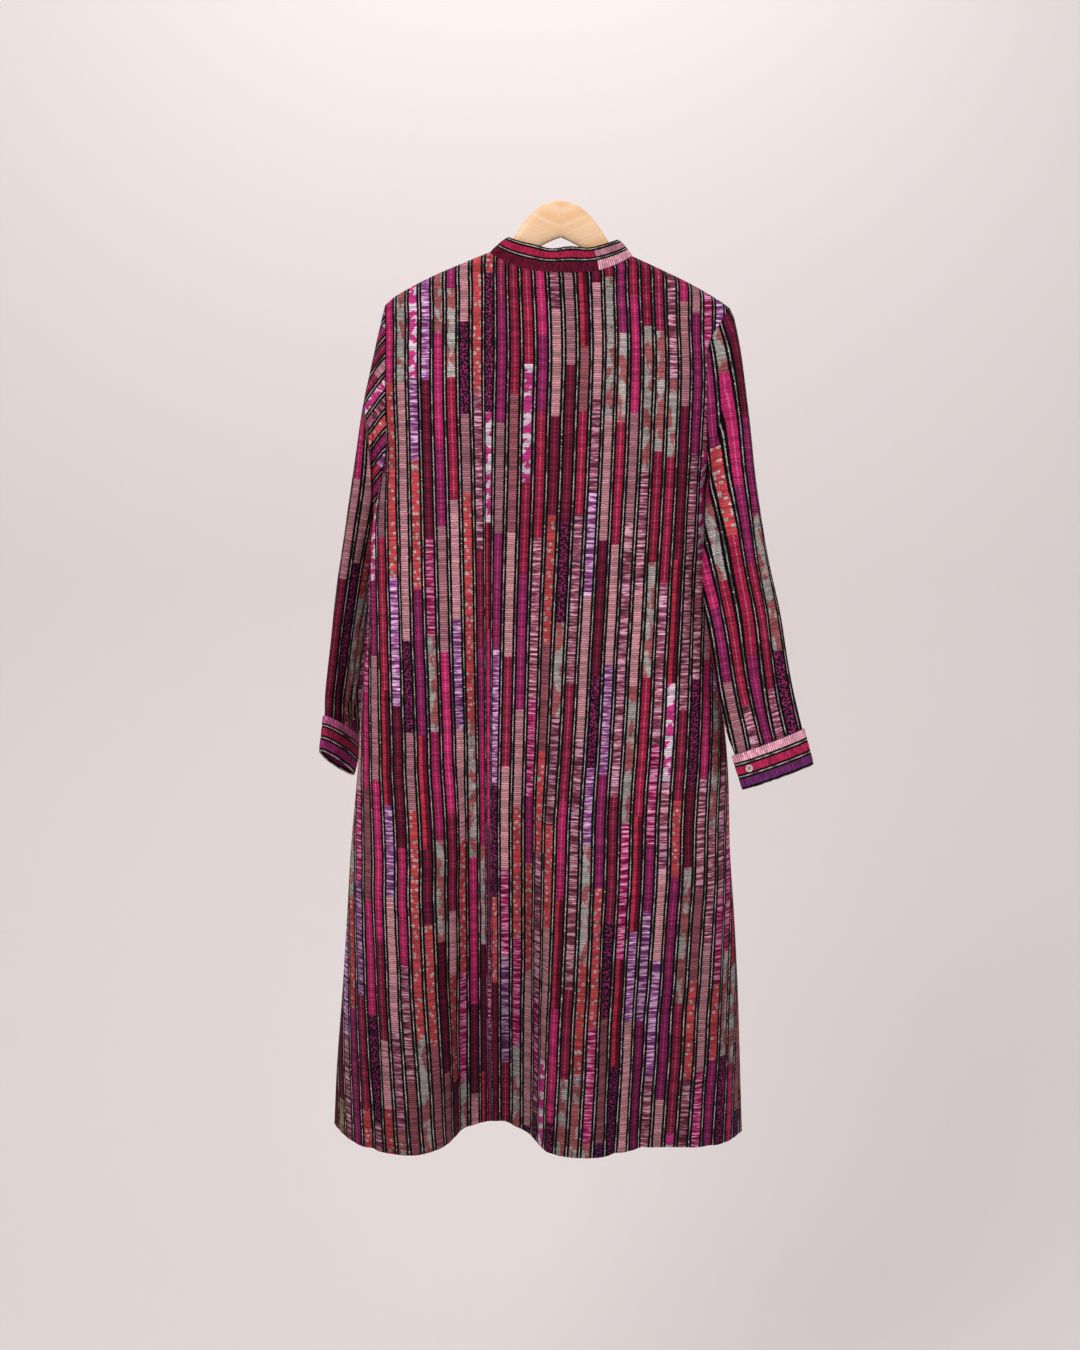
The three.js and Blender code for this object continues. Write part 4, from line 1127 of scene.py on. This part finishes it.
class Nodes:
    """Short calls for building a material's node tree."""

    def __init__(self, name, roughness, sheen=0.0, specular=0.5, coat=0.0):
        self.material = bpy.data.materials.new(name)
        self.material.use_nodes = True
        self.tree = self.material.node_tree
        self.shader = self.tree.nodes["Principled BSDF"]
        self.shader.inputs["Roughness"].default_value = roughness
        self.shader.inputs["Sheen Weight"].default_value = sheen
        self.shader.inputs["Sheen Roughness"].default_value = 0.45
        self.shader.inputs["Specular IOR Level"].default_value = specular
        self.shader.inputs["Coat Weight"].default_value = coat
        self.shader.inputs["Coat Roughness"].default_value = 0.3

    def add(self, kind, inputs=(), output=0, **settings):
        node = self.tree.nodes.new(f"ShaderNode{kind}")
        for name, value in settings.items():
            setattr(node, name, value)
        for socket, value in dict(inputs).items():
            self.plug(node.inputs[socket], value)
        return Field(self, node.outputs[output])

    def plug(self, socket, value):
        if isinstance(value, Field):
            self.tree.links.new(value.socket, socket)
        else:
            socket.default_value = value

    def math(self, name, *values):
        return self.add("Math", enumerate(values), operation=name)

    def combine(self, x, y, z=0.0):
        return self.add("CombineXYZ", {0: x, 1: y, 2: z})

    def cloth_place(self):
        """Millimetres across and down the flat cloth."""
        place = self.add("SeparateXYZ", {0: self.add("UVMap", uv_map="cloth")})
        return place / MM, place.output("Y") / MM

    def hash(self, x, y=0.0):
        """A number from 0 to 1 that any change of x or y makes another one."""
        return self.add("TexWhiteNoise", {"Vector": self.combine(x, y)}, noise_dimensions="2D")

    def noise(self, x, y, scale=1.0, detail=2.0):
        inputs = {"Vector": self.combine(x, y), "Scale": scale, "Detail": detail}
        return self.add("TexNoise", inputs, noise_dimensions="2D")

    def cells(self, x, y, size):
        """How far it is to the middle of the nearest cell, in cells, and that cell's colour."""
        inputs = {"Vector": self.combine(x, y), "Scale": 1 / size}
        cell = self.add("TexVoronoi", inputs, voronoi_dimensions="2D")
        return cell, self.add("SeparateColor", {0: cell.output("Color")})

    def mix(self, share, a, b, mode="MIX"):
        node = self.tree.nodes.new("ShaderNodeMix")
        node.data_type = "RGBA"
        node.blend_type = mode
        for socket, value in zip((node.inputs[0], node.inputs[6], node.inputs[7]), (share, a, b)):
            self.plug(socket, value)
        return Field(self, node.outputs[2])

    def scaled(self, base, value):
        """A colour made lighter or darker by a factor."""
        return self.mix(1.0, base, self.combine(value, value, value), "MULTIPLY")

    def ramp(self, value, stops, smooth_steps=False):
        """Colours by value. stops: (where it starts, colour)."""
        node = self.tree.nodes.new("ShaderNodeValToRGB")
        node.color_ramp.interpolation = "LINEAR" if smooth_steps else "CONSTANT"
        elements = node.color_ramp.elements
        elements[0].position, elements[0].color = 0.0, stops[0][1]
        elements.remove(elements[1])
        for place, here in stops[1:]:
            elements.new(place).color = here
        self.plug(node.inputs[0], value)
        return Field(self, node.outputs[0])

    def bump(self, height, distance, strength=1.0):
        inputs = {"Height": height, "Distance": distance, "Strength": strength}
        return self.add("Bump", inputs)

    def finish(self, base, normal):
        self.plug(self.shader.inputs["Base Color"], base)
        self.plug(self.shader.inputs["Normal"], normal)
        return self.material


# The cloths that the strips are pieced from: share of the strips' length, colour, the colour
# of what is woven or printed on it (on crumpled cloth, the painted highlight of its crumples),
# and the kind of that pattern.
RIBBED, LINED, ROSETTES, BLOTCHES, SPOTS, CRUSHED_HIGHLIGHT_AND_SHADE, BLOCKS, SPLIT = range(8)
KINDS = 10  # more than the number of kinds, so that a kind's share of it stays below 1
CLOTHS = (
    (9, "8c2048", "d293a8", LINED),
    (9, "9c1f40", "d88a9c", LINED),
    (3, "a8707a", "7d434c", RIBBED),
    (5, "a4569c", "e9c0e2", CRUSHED_HIGHLIGHT_AND_SHADE),
    (8, "c44a50", "b4b8b8", ROSETTES),
    (6, "a65c5e", "aeb2ae", BLOTCHES),
    (6, "8a2258", "c06a9c", LINED),
    (5, "c88c94", "93606a", RIBBED),
    (6, "661530", "93505e", LINED),
    (5, "9c5068", "d8a4b8", CRUSHED_HIGHLIGHT_AND_SHADE),
    (6, "b82862", "e684b4", LINED),
    (2, "cc3c88", "e6cedc", BLOCKS),
    (3, "98555f", "74404a", RIBBED),
    (4, "bc3448", "641430", SPLIT),
    (6, "942862", "15151c", SPOTS),
    (5, "c2306e", "ec9cc6", CRUSHED_HIGHLIGHT_AND_SHADE),
    (6, "8a1f40", "cc8494", LINED),
    (5, "6c1c34", "9a5866", LINED),
    (4, "7c2e6c", "17151f", SPOTS),
    (3, "8c5a50", "a09a68", BLOTCHES),
    (3, "98408a", "d898c8", RIBBED),
)
BLACK = "10131b"
# The black in the grooves between ribs: painted shade.
BLACK_SHADED = "030406"
ECRU = "d4ccbf"
ECRU_LOW = "6b6156"
GLINT = "fbf4ea"
CLOTH_SPECULAR = 0.06
LOW_SHADE = 0.3  # how much darker the cloth is drawn towards the hem
REGION_SHIFT = 0.3  # how far down the list the choice moves from the neck to the hem
STRIP_WANDER = 1.3  # the strips' edges stray within this width
PATTERN_STEP = 41.0  # from one strip to the next the patterns start this much further on
SEGMENT_STEP = 97.0  # and the pieces of cloth up to this many pieces further on
CRUSHED_STRETCH = 0.12  # crumpled cloth has its painted highlights and shade drawn out across the strip
GLINT_SHARE = 0.03  # share of the pale stitches that catch the light
CLOTH_RELIEF = 0.75 * MM
BAND_CLOTH_RELIEF = 0.6 * MM


def cloth_stops(column):
    """The ramp that gives each cloth its value in a column of the table."""
    total = sum(row[0] for row in CLOTHS)
    place, stops = 0.0, []
    for row in CLOTHS:
        value = row[column]
        level = colour(value) if column < 3 else (value / KINDS,) * 3 + (1.0,)
        stops.append((place, level))
        place += row[0] / total
    return stops


def rosettes(n, across, down):
    """Small rings with a heart, scattered along the strip."""
    cell, number = n.cells(across, down, 7.6)
    ring = cell.fall(0.2, 0.28) - 0.75 * cell.fall(0.06, 0.13)
    return ring * number.above(0.25)


def is_kind(kind, name):
    """1 where the cloth has the named kind of pattern."""
    return kind.equals(name / KINDS, 0.03)


def pattern_masks(n, across, place, down):
    """Where each kind of pattern shows: across is from the strip's edge, place from the first."""
    wide = n.noise(place, down * 0.4, 0.09, 4.0)
    spot, _ = n.cells(place, down, 2.9)
    crumple_shading = n.noise(place * CRUSHED_STRETCH, down, 0.34, 3.0)
    slanting = n.noise(place * 0.8 + down * 0.5, down, 0.085, 2.0)
    return {
        LINED: 0.4 * abs(across - STRIP / 2).fall(0.25, 0.8),
        ROSETTES: rosettes(n, place, down),
        BLOTCHES: wide.rise(0.49, 0.52) * (0.55 + 0.45 * n.noise(place, down, 0.6, 2.0).above(0.5)),
        SPOTS: spot.fall(0.4, 0.52),
        # Painted highlights of crumpled cloth, in its accent colour.
        CRUSHED_HIGHLIGHT_AND_SHADE: crumple_shading.rise(0.5, 0.62),
        BLOCKS: slanting.rise(0.5, 0.53),
        SPLIT: across.rise(STRIP / 2 - 0.2, STRIP / 2 + 0.2),
    }


def ribs(n, across, down, spacing):
    """The cross ribs: 1 on a rib's crown and 0 in the groove between two, and their count. Where
    colours are darkened by it towards the groove, that is painted shade.
    """
    wobble = 1.8 * n.noise(across, down, 0.12, 1.0) + 0.5 * n.noise(across, down, 0.7, 1.0)
    run = (down + wobble) / spacing
    crown = 0.5 - 0.5 * n.math("COSINE", run.fract() * (2 * math.pi))
    return crown, run.floor()


def stitched_black(n, across, along, crown, from_line):
    """The black band, with a line of pale stitches where from_line is small."""
    bead = n.math("PINGPONG", along / BEAD + 0.4 * n.noise(across, along, 0.5, 1.0), 0.5) * 2.0
    count = (along / BEAD).floor()
    lit = from_line.fall(0.3, 0.58) * (0.45 + 0.55 * bead)
    tone = n.noise(across, along, 0.045, 3.0).rise(0.38, 0.6)
    ecru = n.mix(tone, colour(ECRU_LOW), colour(ECRU))
    ecru = n.mix(n.hash(count, across + 9.0).above(1.0 - GLINT_SHARE), ecru, colour(GLINT))
    # Painted shade: the black is darker in the grooves between the ribs.
    black = n.mix(crown * 0.7, colour(BLACK_SHADED), colour(BLACK))
    return n.mix(lit, black, ecru), lit


def striped_cloth():
    """Narrow strips, each pieced from one cloth after another, with black bands between."""
    n = Nodes("striped_cloth", 0.78, specular=CLOTH_SPECULAR)
    u, down = n.cloth_place()
    run = (u + STRIP_WANDER * (n.noise(u, down, 0.5, 1.0) - 0.5)) / PITCH
    index = run.floor()
    across = run.fract() * PITCH
    start = n.hash(index) * SEGMENT_STEP
    inputs = {"W": down / SEGMENT + start, "Scale": 1.0}
    piece = n.add("TexVoronoi", inputs, output=1, voronoi_dimensions="1D")
    number = n.add("SeparateColor", {0: piece})
    level = (piece.output("W") - start) * (SEGMENT / -HEM_LEVEL)
    drift = 0.7 * n.noise(index * 0.31, 0.5, 1.0, 1.0) - 0.2
    region = (0.7 * level + drift).most(0.0).least(1.0)
    choice = number * (1 - REGION_SHIFT) + region * REGION_SHIFT

    base, accent, kind = (n.ramp(choice, cloth_stops(column)) for column in (1, 2, 3))
    place = across + index * PATTERN_STEP
    shown = None
    for name, mask in pattern_masks(n, across, place, down).items():
        part = is_kind(kind, name) * mask
        shown = part if shown is None else shown + part
    crown, rib = ribs(n, place, down, RIB)
    # How strongly the ribs darken the colour in the grooves between them: painted shade.
    strength = 0.6 + 0.35 * is_kind(kind, RIBBED)
    yarn = (0.86 + 0.28 * n.hash(rib, (place / 1.3).floor())) * (0.7 + 0.6 * n.hash(rib, index))
    # Painted shade of crumpled cloth: the troughs of its crumples are darkened below; its painted
    # highlights are its accent colour.
    crumple_shading = n.noise(place * CRUSHED_STRETCH, down, 0.34, 3.0)
    crumple_shade = is_kind(kind, CRUSHED_HIGHLIGHT_AND_SHADE) * crumple_shading.fall(0.35, 0.5)
    tone = (0.64 + 0.32 * number.output("Green")) * yarn * (1.0 + strength * (crown - 0.5))
    tone = tone * (1.0 - 0.65 * crumple_shade) * (1.0 - LOW_SHADE * down.rise(600.0, 1000.0))
    strip = n.scaled(n.mix(shown, base, accent), tone)

    from_line = abs(across - (STRIP + PITCH) / 2)
    black, lit = stitched_black(n, index * 3.0, down, crown, from_line)
    inside = across.rise(0.0, 0.4) * across.fall(STRIP - 0.4, STRIP)
    height = inside * 0.5 + crown * 0.45 + lit * 0.35 + shown * inside * 0.15
    return n.finish(n.mix(inside, black, strip), n.bump(height, CLOTH_RELIEF))


def lined_black(*shares):
    """The rows of a black band with pale lines in it, each with its share of the height."""
    kinds = (("black", BLACK), ("line", ECRU), ("black", BLACK))
    return [(share, tint, tint, kind) for share, (kind, tint) in zip(shares, kinds)]


# Bands from the top edge down: share of the height, colours before and past the change, kind.
COLLAR_BANDS = (
    *lined_black(6, 4, 8),
    (27, "9c1f3f", "ad7684", "strip"),
    *lined_black(7, 4, 7),
    (37, "561127", "d99cae", "strip"),
)
CUFF_BANDS = (
    (23, "b45a86", "dc9cb0", "strip"),
    *lined_black(5, 3, 5),
    (21, "8f2344", "a8264c", "strip"),
    *lined_black(5, 3, 5),
    (22, "8c2c66", "64285e", "strip"),
    *lined_black(6, 2),
)
BAND_RIB = 2.6
COLLAR_CHANGE = COLLAR_BACK + 40  # how far along the long band its colours change
CUFF_CHANGE = 380


def banded_cloth(name, bands, change):
    """The same cloth laid crosswise, with its strips running round a collar or cuff."""
    n = Nodes(name, 0.78, specular=CLOTH_SPECULAR)
    across, along = n.cloth_place()
    total = sum(row[0] for row in bands)
    share = (across + 1.6 * (n.noise(across * 0.3, along, 0.35, 1.0) - 0.5)) / 100.0
    stops, place = {1: [], 2: [], 3: []}, 0.0
    for row in bands:
        on = {"black": 0.0, "line": 0.5, "strip": 1.0}[row[3]]
        stops[1].append((place, colour(row[1])))
        stops[2].append((place, colour(row[2])))
        stops[3].append((place, (on, on, on, 1.0)))
        place += row[0] / total
    base = n.mix((along - change).rise(0.0, 0.6), n.ramp(share, stops[1]), n.ramp(share, stops[2]))
    kind = n.ramp(share, stops[3])
    crown, rib = ribs(n, across, along, BAND_RIB)
    fleck = (0.7 + 0.6 * n.hash(rib, (across / 12.0).floor())) * (0.9 + 0.2 * n.hash(rib))
    # Painted shade: the colour darkens in the grooves between the ribs; fleck varies at random.
    strip = n.scaled(base, fleck * (0.55 + 0.9 * crown))
    black, _ = stitched_black(n, across * 0.0, along, crown, 1.0 - kind.equals(0.5, 0.1))
    cloth = n.mix(kind.above(0.9), black, strip)
    return n.finish(cloth, n.bump(kind * 0.5 + crown * 0.4, BAND_CLOTH_RELIEF))


def wood(name, slant):
    """Pale beech: fine grain and short flecks along the arm."""
    n = Nodes(name, 0.42, specular=0.45, coat=0.15)
    inputs = {"Vector": n.add("NewGeometry"), "Rotation": (0.0, slant, 0.0)}
    turned = n.add("SeparateXYZ", {0: n.add("VectorRotate", inputs, rotation_type="EULER_XYZ")})

    def grain(along, through, over, detail):
        place = n.combine(turned * along, turned.output("Y") * through, turned.output("Z") * over)
        return n.add("TexNoise", {"Vector": place, "Scale": 1.0, "Detail": detail})

    fine = grain(6.0, 120.0, 150.0, 4.0)
    tones = [(0.0, colour("e8ae78")), (0.42, colour("f4c698")), (0.62, colour("fad6ae"))]
    base = n.ramp(fine, tones, True)
    base = n.mix(0.35 * grain(2.5, 30.0, 45.0, 2.0).rise(0.45, 0.7), base, colour("efb888"))
    base = n.mix(0.3 * grain(90.0, 500.0, 900.0, 1.0).rise(0.62, 0.7), base, colour("d09a68"))
    return n.finish(base, n.bump(fine, 0.25 * MM, 0.5))


def shell_button():
    n = Nodes("shell_button", 0.24, specular=0.6, coat=0.3)
    place = n.add("NewGeometry")
    clouds = n.add("TexNoise", {"Vector": place, "Scale": 420.0, "Detail": 3.0})
    swirl = {"Vector": place, "Scale": 130.0, "Detail": 2.0, "Distortion": 1.5}
    tones = [(0.0, colour("a98f93")), (0.5, colour("cdb6b6")), (0.75, colour("e3d2cf"))]
    base = n.ramp(clouds, tones, True)
    base = n.mix(0.35 * n.add("TexNoise", swirl).rise(0.45, 0.6), base, colour("b59aa4"))
    return n.finish(base, n.bump(clouds, 0.05 * MM, 0.4))


def thread():
    n = Nodes("button_thread", 0.7, sheen=0.2, specular=0.3)
    inputs = {"Vector": n.add("NewGeometry"), "Scale": 900.0, "Distortion": 1.0}
    twist = n.add("TexWave", inputs)
    base = n.ramp(twist, [(0.0, colour("3a1626")), (1.0, colour("6b2c46"))], True)
    return n.finish(base, n.bump(twist, 0.05 * MM, 0.6))


def studio_paper():
    n = Nodes("studio_paper", 0.95, specular=0.1)
    tone = n.add("TexNoise", {"Vector": n.add("NewGeometry"), "Scale": 0.7, "Detail": 1.0})
    base = n.ramp(tone, [(0.3, colour("e3dbda")), (0.7, colour("e7e0df"))], True)
    return n.finish(base, n.bump(tone, 0.1 * MM, 0.1))


# ---- stage ----
FLOOR_LEVEL = -1.75
FLOOR_FRONT = -6.0
BACKDROP_AT = 1.9
BACKDROP_SWEEP = 1.2
BACKDROP_TOP = 5.0
BACKDROP_HALF_WIDTH = 7.0
SWEEP_STEPS = 16
CAMERA_LENS = 49.179
CAMERA_SENSOR = 36
CAMERA_PLACE = (-0.024, -2.2, -0.3177)
CAMERA_AIM = (-0.024, 0.0, -0.5577)
WORLD_LIGHT = 0.55
# Lamps, in metres: where each is, what it is aimed at, its width and height, power and colour.
LAMPS = {
    "key": ((-1.7, -2.6, 1.5), (0, 0, -0.5), (1.6, 1.6), 60, "fffdfb"),
    "fill": ((2.2, -2.2, 0.3), (0, 0, -0.6), (1.8, 1.8), 22, "fafafe"),
    "wall": ((-1.2, 0.6, 2.2), (-0.6, 1.9, -0.4), (1.6, 0.8), 5, "ffffff"),
    "floor": ((0.0, 1.0, 1.7), (0.0, 0.7, -1.75), (1.4, 0.6), 18, "ffffff"),
}


def backdrop():
    """A floor that sweeps up into a wall behind the garment."""
    bend = BACKDROP_AT - BACKDROP_SWEEP
    profile = [(FLOOR_FRONT, FLOOR_LEVEL), (bend, FLOOR_LEVEL)]
    for k in range(1, SWEEP_STEPS + 1):
        a = math.pi / 2 * k / SWEEP_STEPS
        y = bend + BACKDROP_SWEEP * math.sin(a)
        profile.append((y, FLOOR_LEVEL + BACKDROP_SWEEP * (1 - math.cos(a))))
    profile.append((BACKDROP_AT, BACKDROP_TOP))
    sides = (-BACKDROP_HALF_WIDTH, BACKDROP_HALF_WIDTH)
    verts = [(x, y, z) for y, z in profile for x in sides]
    faces = [(2 * i, 2 * i + 1, 2 * i + 3, 2 * i + 2) for i in range(len(profile) - 1)]
    mesh = bpy.data.meshes.new("backdrop")
    mesh.from_pydata(verts, [], faces)
    mesh.shade_smooth()
    paper = placed("backdrop", mesh)
    paper.data.materials.append(studio_paper())


def area_light(name, place, aim, size, power, tint):
    lamp = bpy.data.lights.new(name, "AREA")
    lamp.shape = "RECTANGLE"
    lamp.size, lamp.size_y = size
    lamp.energy = power
    lamp.color = colour(tint)[:3]
    aim_at(placed(name, lamp), place, aim)


def aim_at(thing, place, aim):
    """Puts a lamp or a camera at a place and turns it towards another."""
    thing.location = place
    thing.rotation_euler = (Vector(aim) - Vector(place)).to_track_quat("-Z", "Y").to_euler()


def camera():
    data = bpy.data.cameras.new("camera")
    data.lens = CAMERA_LENS
    data.sensor_width = CAMERA_SENSOR
    thing = placed("camera", data)
    aim_at(thing, CAMERA_PLACE, CAMERA_AIM)
    bpy.context.scene.camera = thing


def studio():
    world = bpy.data.worlds.new("studio")
    world.use_nodes = True
    background = world.node_tree.nodes["Background"]
    background.inputs[0].default_value = colour("f5f3f3")
    background.inputs[1].default_value = WORLD_LIGHT
    bpy.context.scene.world = world
    bpy.context.scene.view_settings.view_transform = "Standard"
    for name, settings in LAMPS.items():
        area_light(name, *settings)


# ---- assembly ----
def dress(thing, material, start):
    """Gives a piece its looks. It stands for the solids whose names begin with start."""
    thing.data.materials.append(material)
    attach(thing, "root")
    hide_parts(*[name for name in frame["nodes"] if name.startswith(start)])
    return thing


FRONT_SECTIONS = ("front_chest", "front_waist", "front_hem")


def cloth_pieces():
    striped = striped_cloth()
    collar = banded_cloth("collar_cloth", COLLAR_BANDS, COLLAR_CHANGE)
    cuffs = banded_cloth("cuff_cloth", CUFF_BANDS, CUFF_CHANGE)
    made = {
        "back": dress(panel_object("back"), striped, "back_"),
        "front": dress(panel_object("front"), striped, FRONT_SECTIONS),
        "collar": dress(collar_object(), collar, "collar_band"),
        "placket": dress(placket_object(), striped, "front_placket"),
    }
    for side in SLEEVE_EDGE:
        sleeve, cuff = f"sleeve_{side}", f"cuff_{side}"
        made[sleeve] = dress(sleeve_object(side), striped, sleeve)
        made[cuff] = dress(cuff_object(side), cuffs, cuff)
    return made


def hanger_pieces():
    for side, edge, slant in (("left", -1, -0.42), ("right", 1, 0.42)):
        dress(hanger_object(side, edge), wood(f"beech_{side}", slant), f"hanger_{side}_half")


def button_pieces():
    mesh = button_mesh()
    shell = shell_button()
    mesh.materials.append(shell)
    stitches = thread_mesh()
    stitches.materials.append(thread())
    inside = {side: cuff_middle(side) for side in SLEEVE_EDGE}
    nodes = [(f"cuff_button_{side}", inside[side]) for side in SLEEVE_EDGE]
    nodes += [(f"front_button_{k}", (0, 0, -0.3)) for k in range(1, 5)]
    for node, away in nodes:
        place = button_place(node, away)
        for kind, data in (("shell", mesh), ("thread", stitches)):
            thing = placed(f"{node}_{kind}", data.copy())
            thing.matrix_world = place
            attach(thing, "root")
            if kind == "shell":
                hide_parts(node)


def cuff_middle(side):
    return sleeve_frame(side)(np.array(1.05))["centre"] * MM


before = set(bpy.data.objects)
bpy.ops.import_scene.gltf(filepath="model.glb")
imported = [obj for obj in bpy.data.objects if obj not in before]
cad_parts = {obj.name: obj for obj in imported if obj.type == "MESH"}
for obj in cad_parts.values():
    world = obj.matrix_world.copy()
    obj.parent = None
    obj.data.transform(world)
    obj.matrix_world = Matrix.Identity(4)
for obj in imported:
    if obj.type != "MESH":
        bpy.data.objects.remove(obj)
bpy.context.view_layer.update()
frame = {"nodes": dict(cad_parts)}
camera()
studio()
backdrop()
pieces = cloth_pieces()
hanger_pieces()
button_pieces()
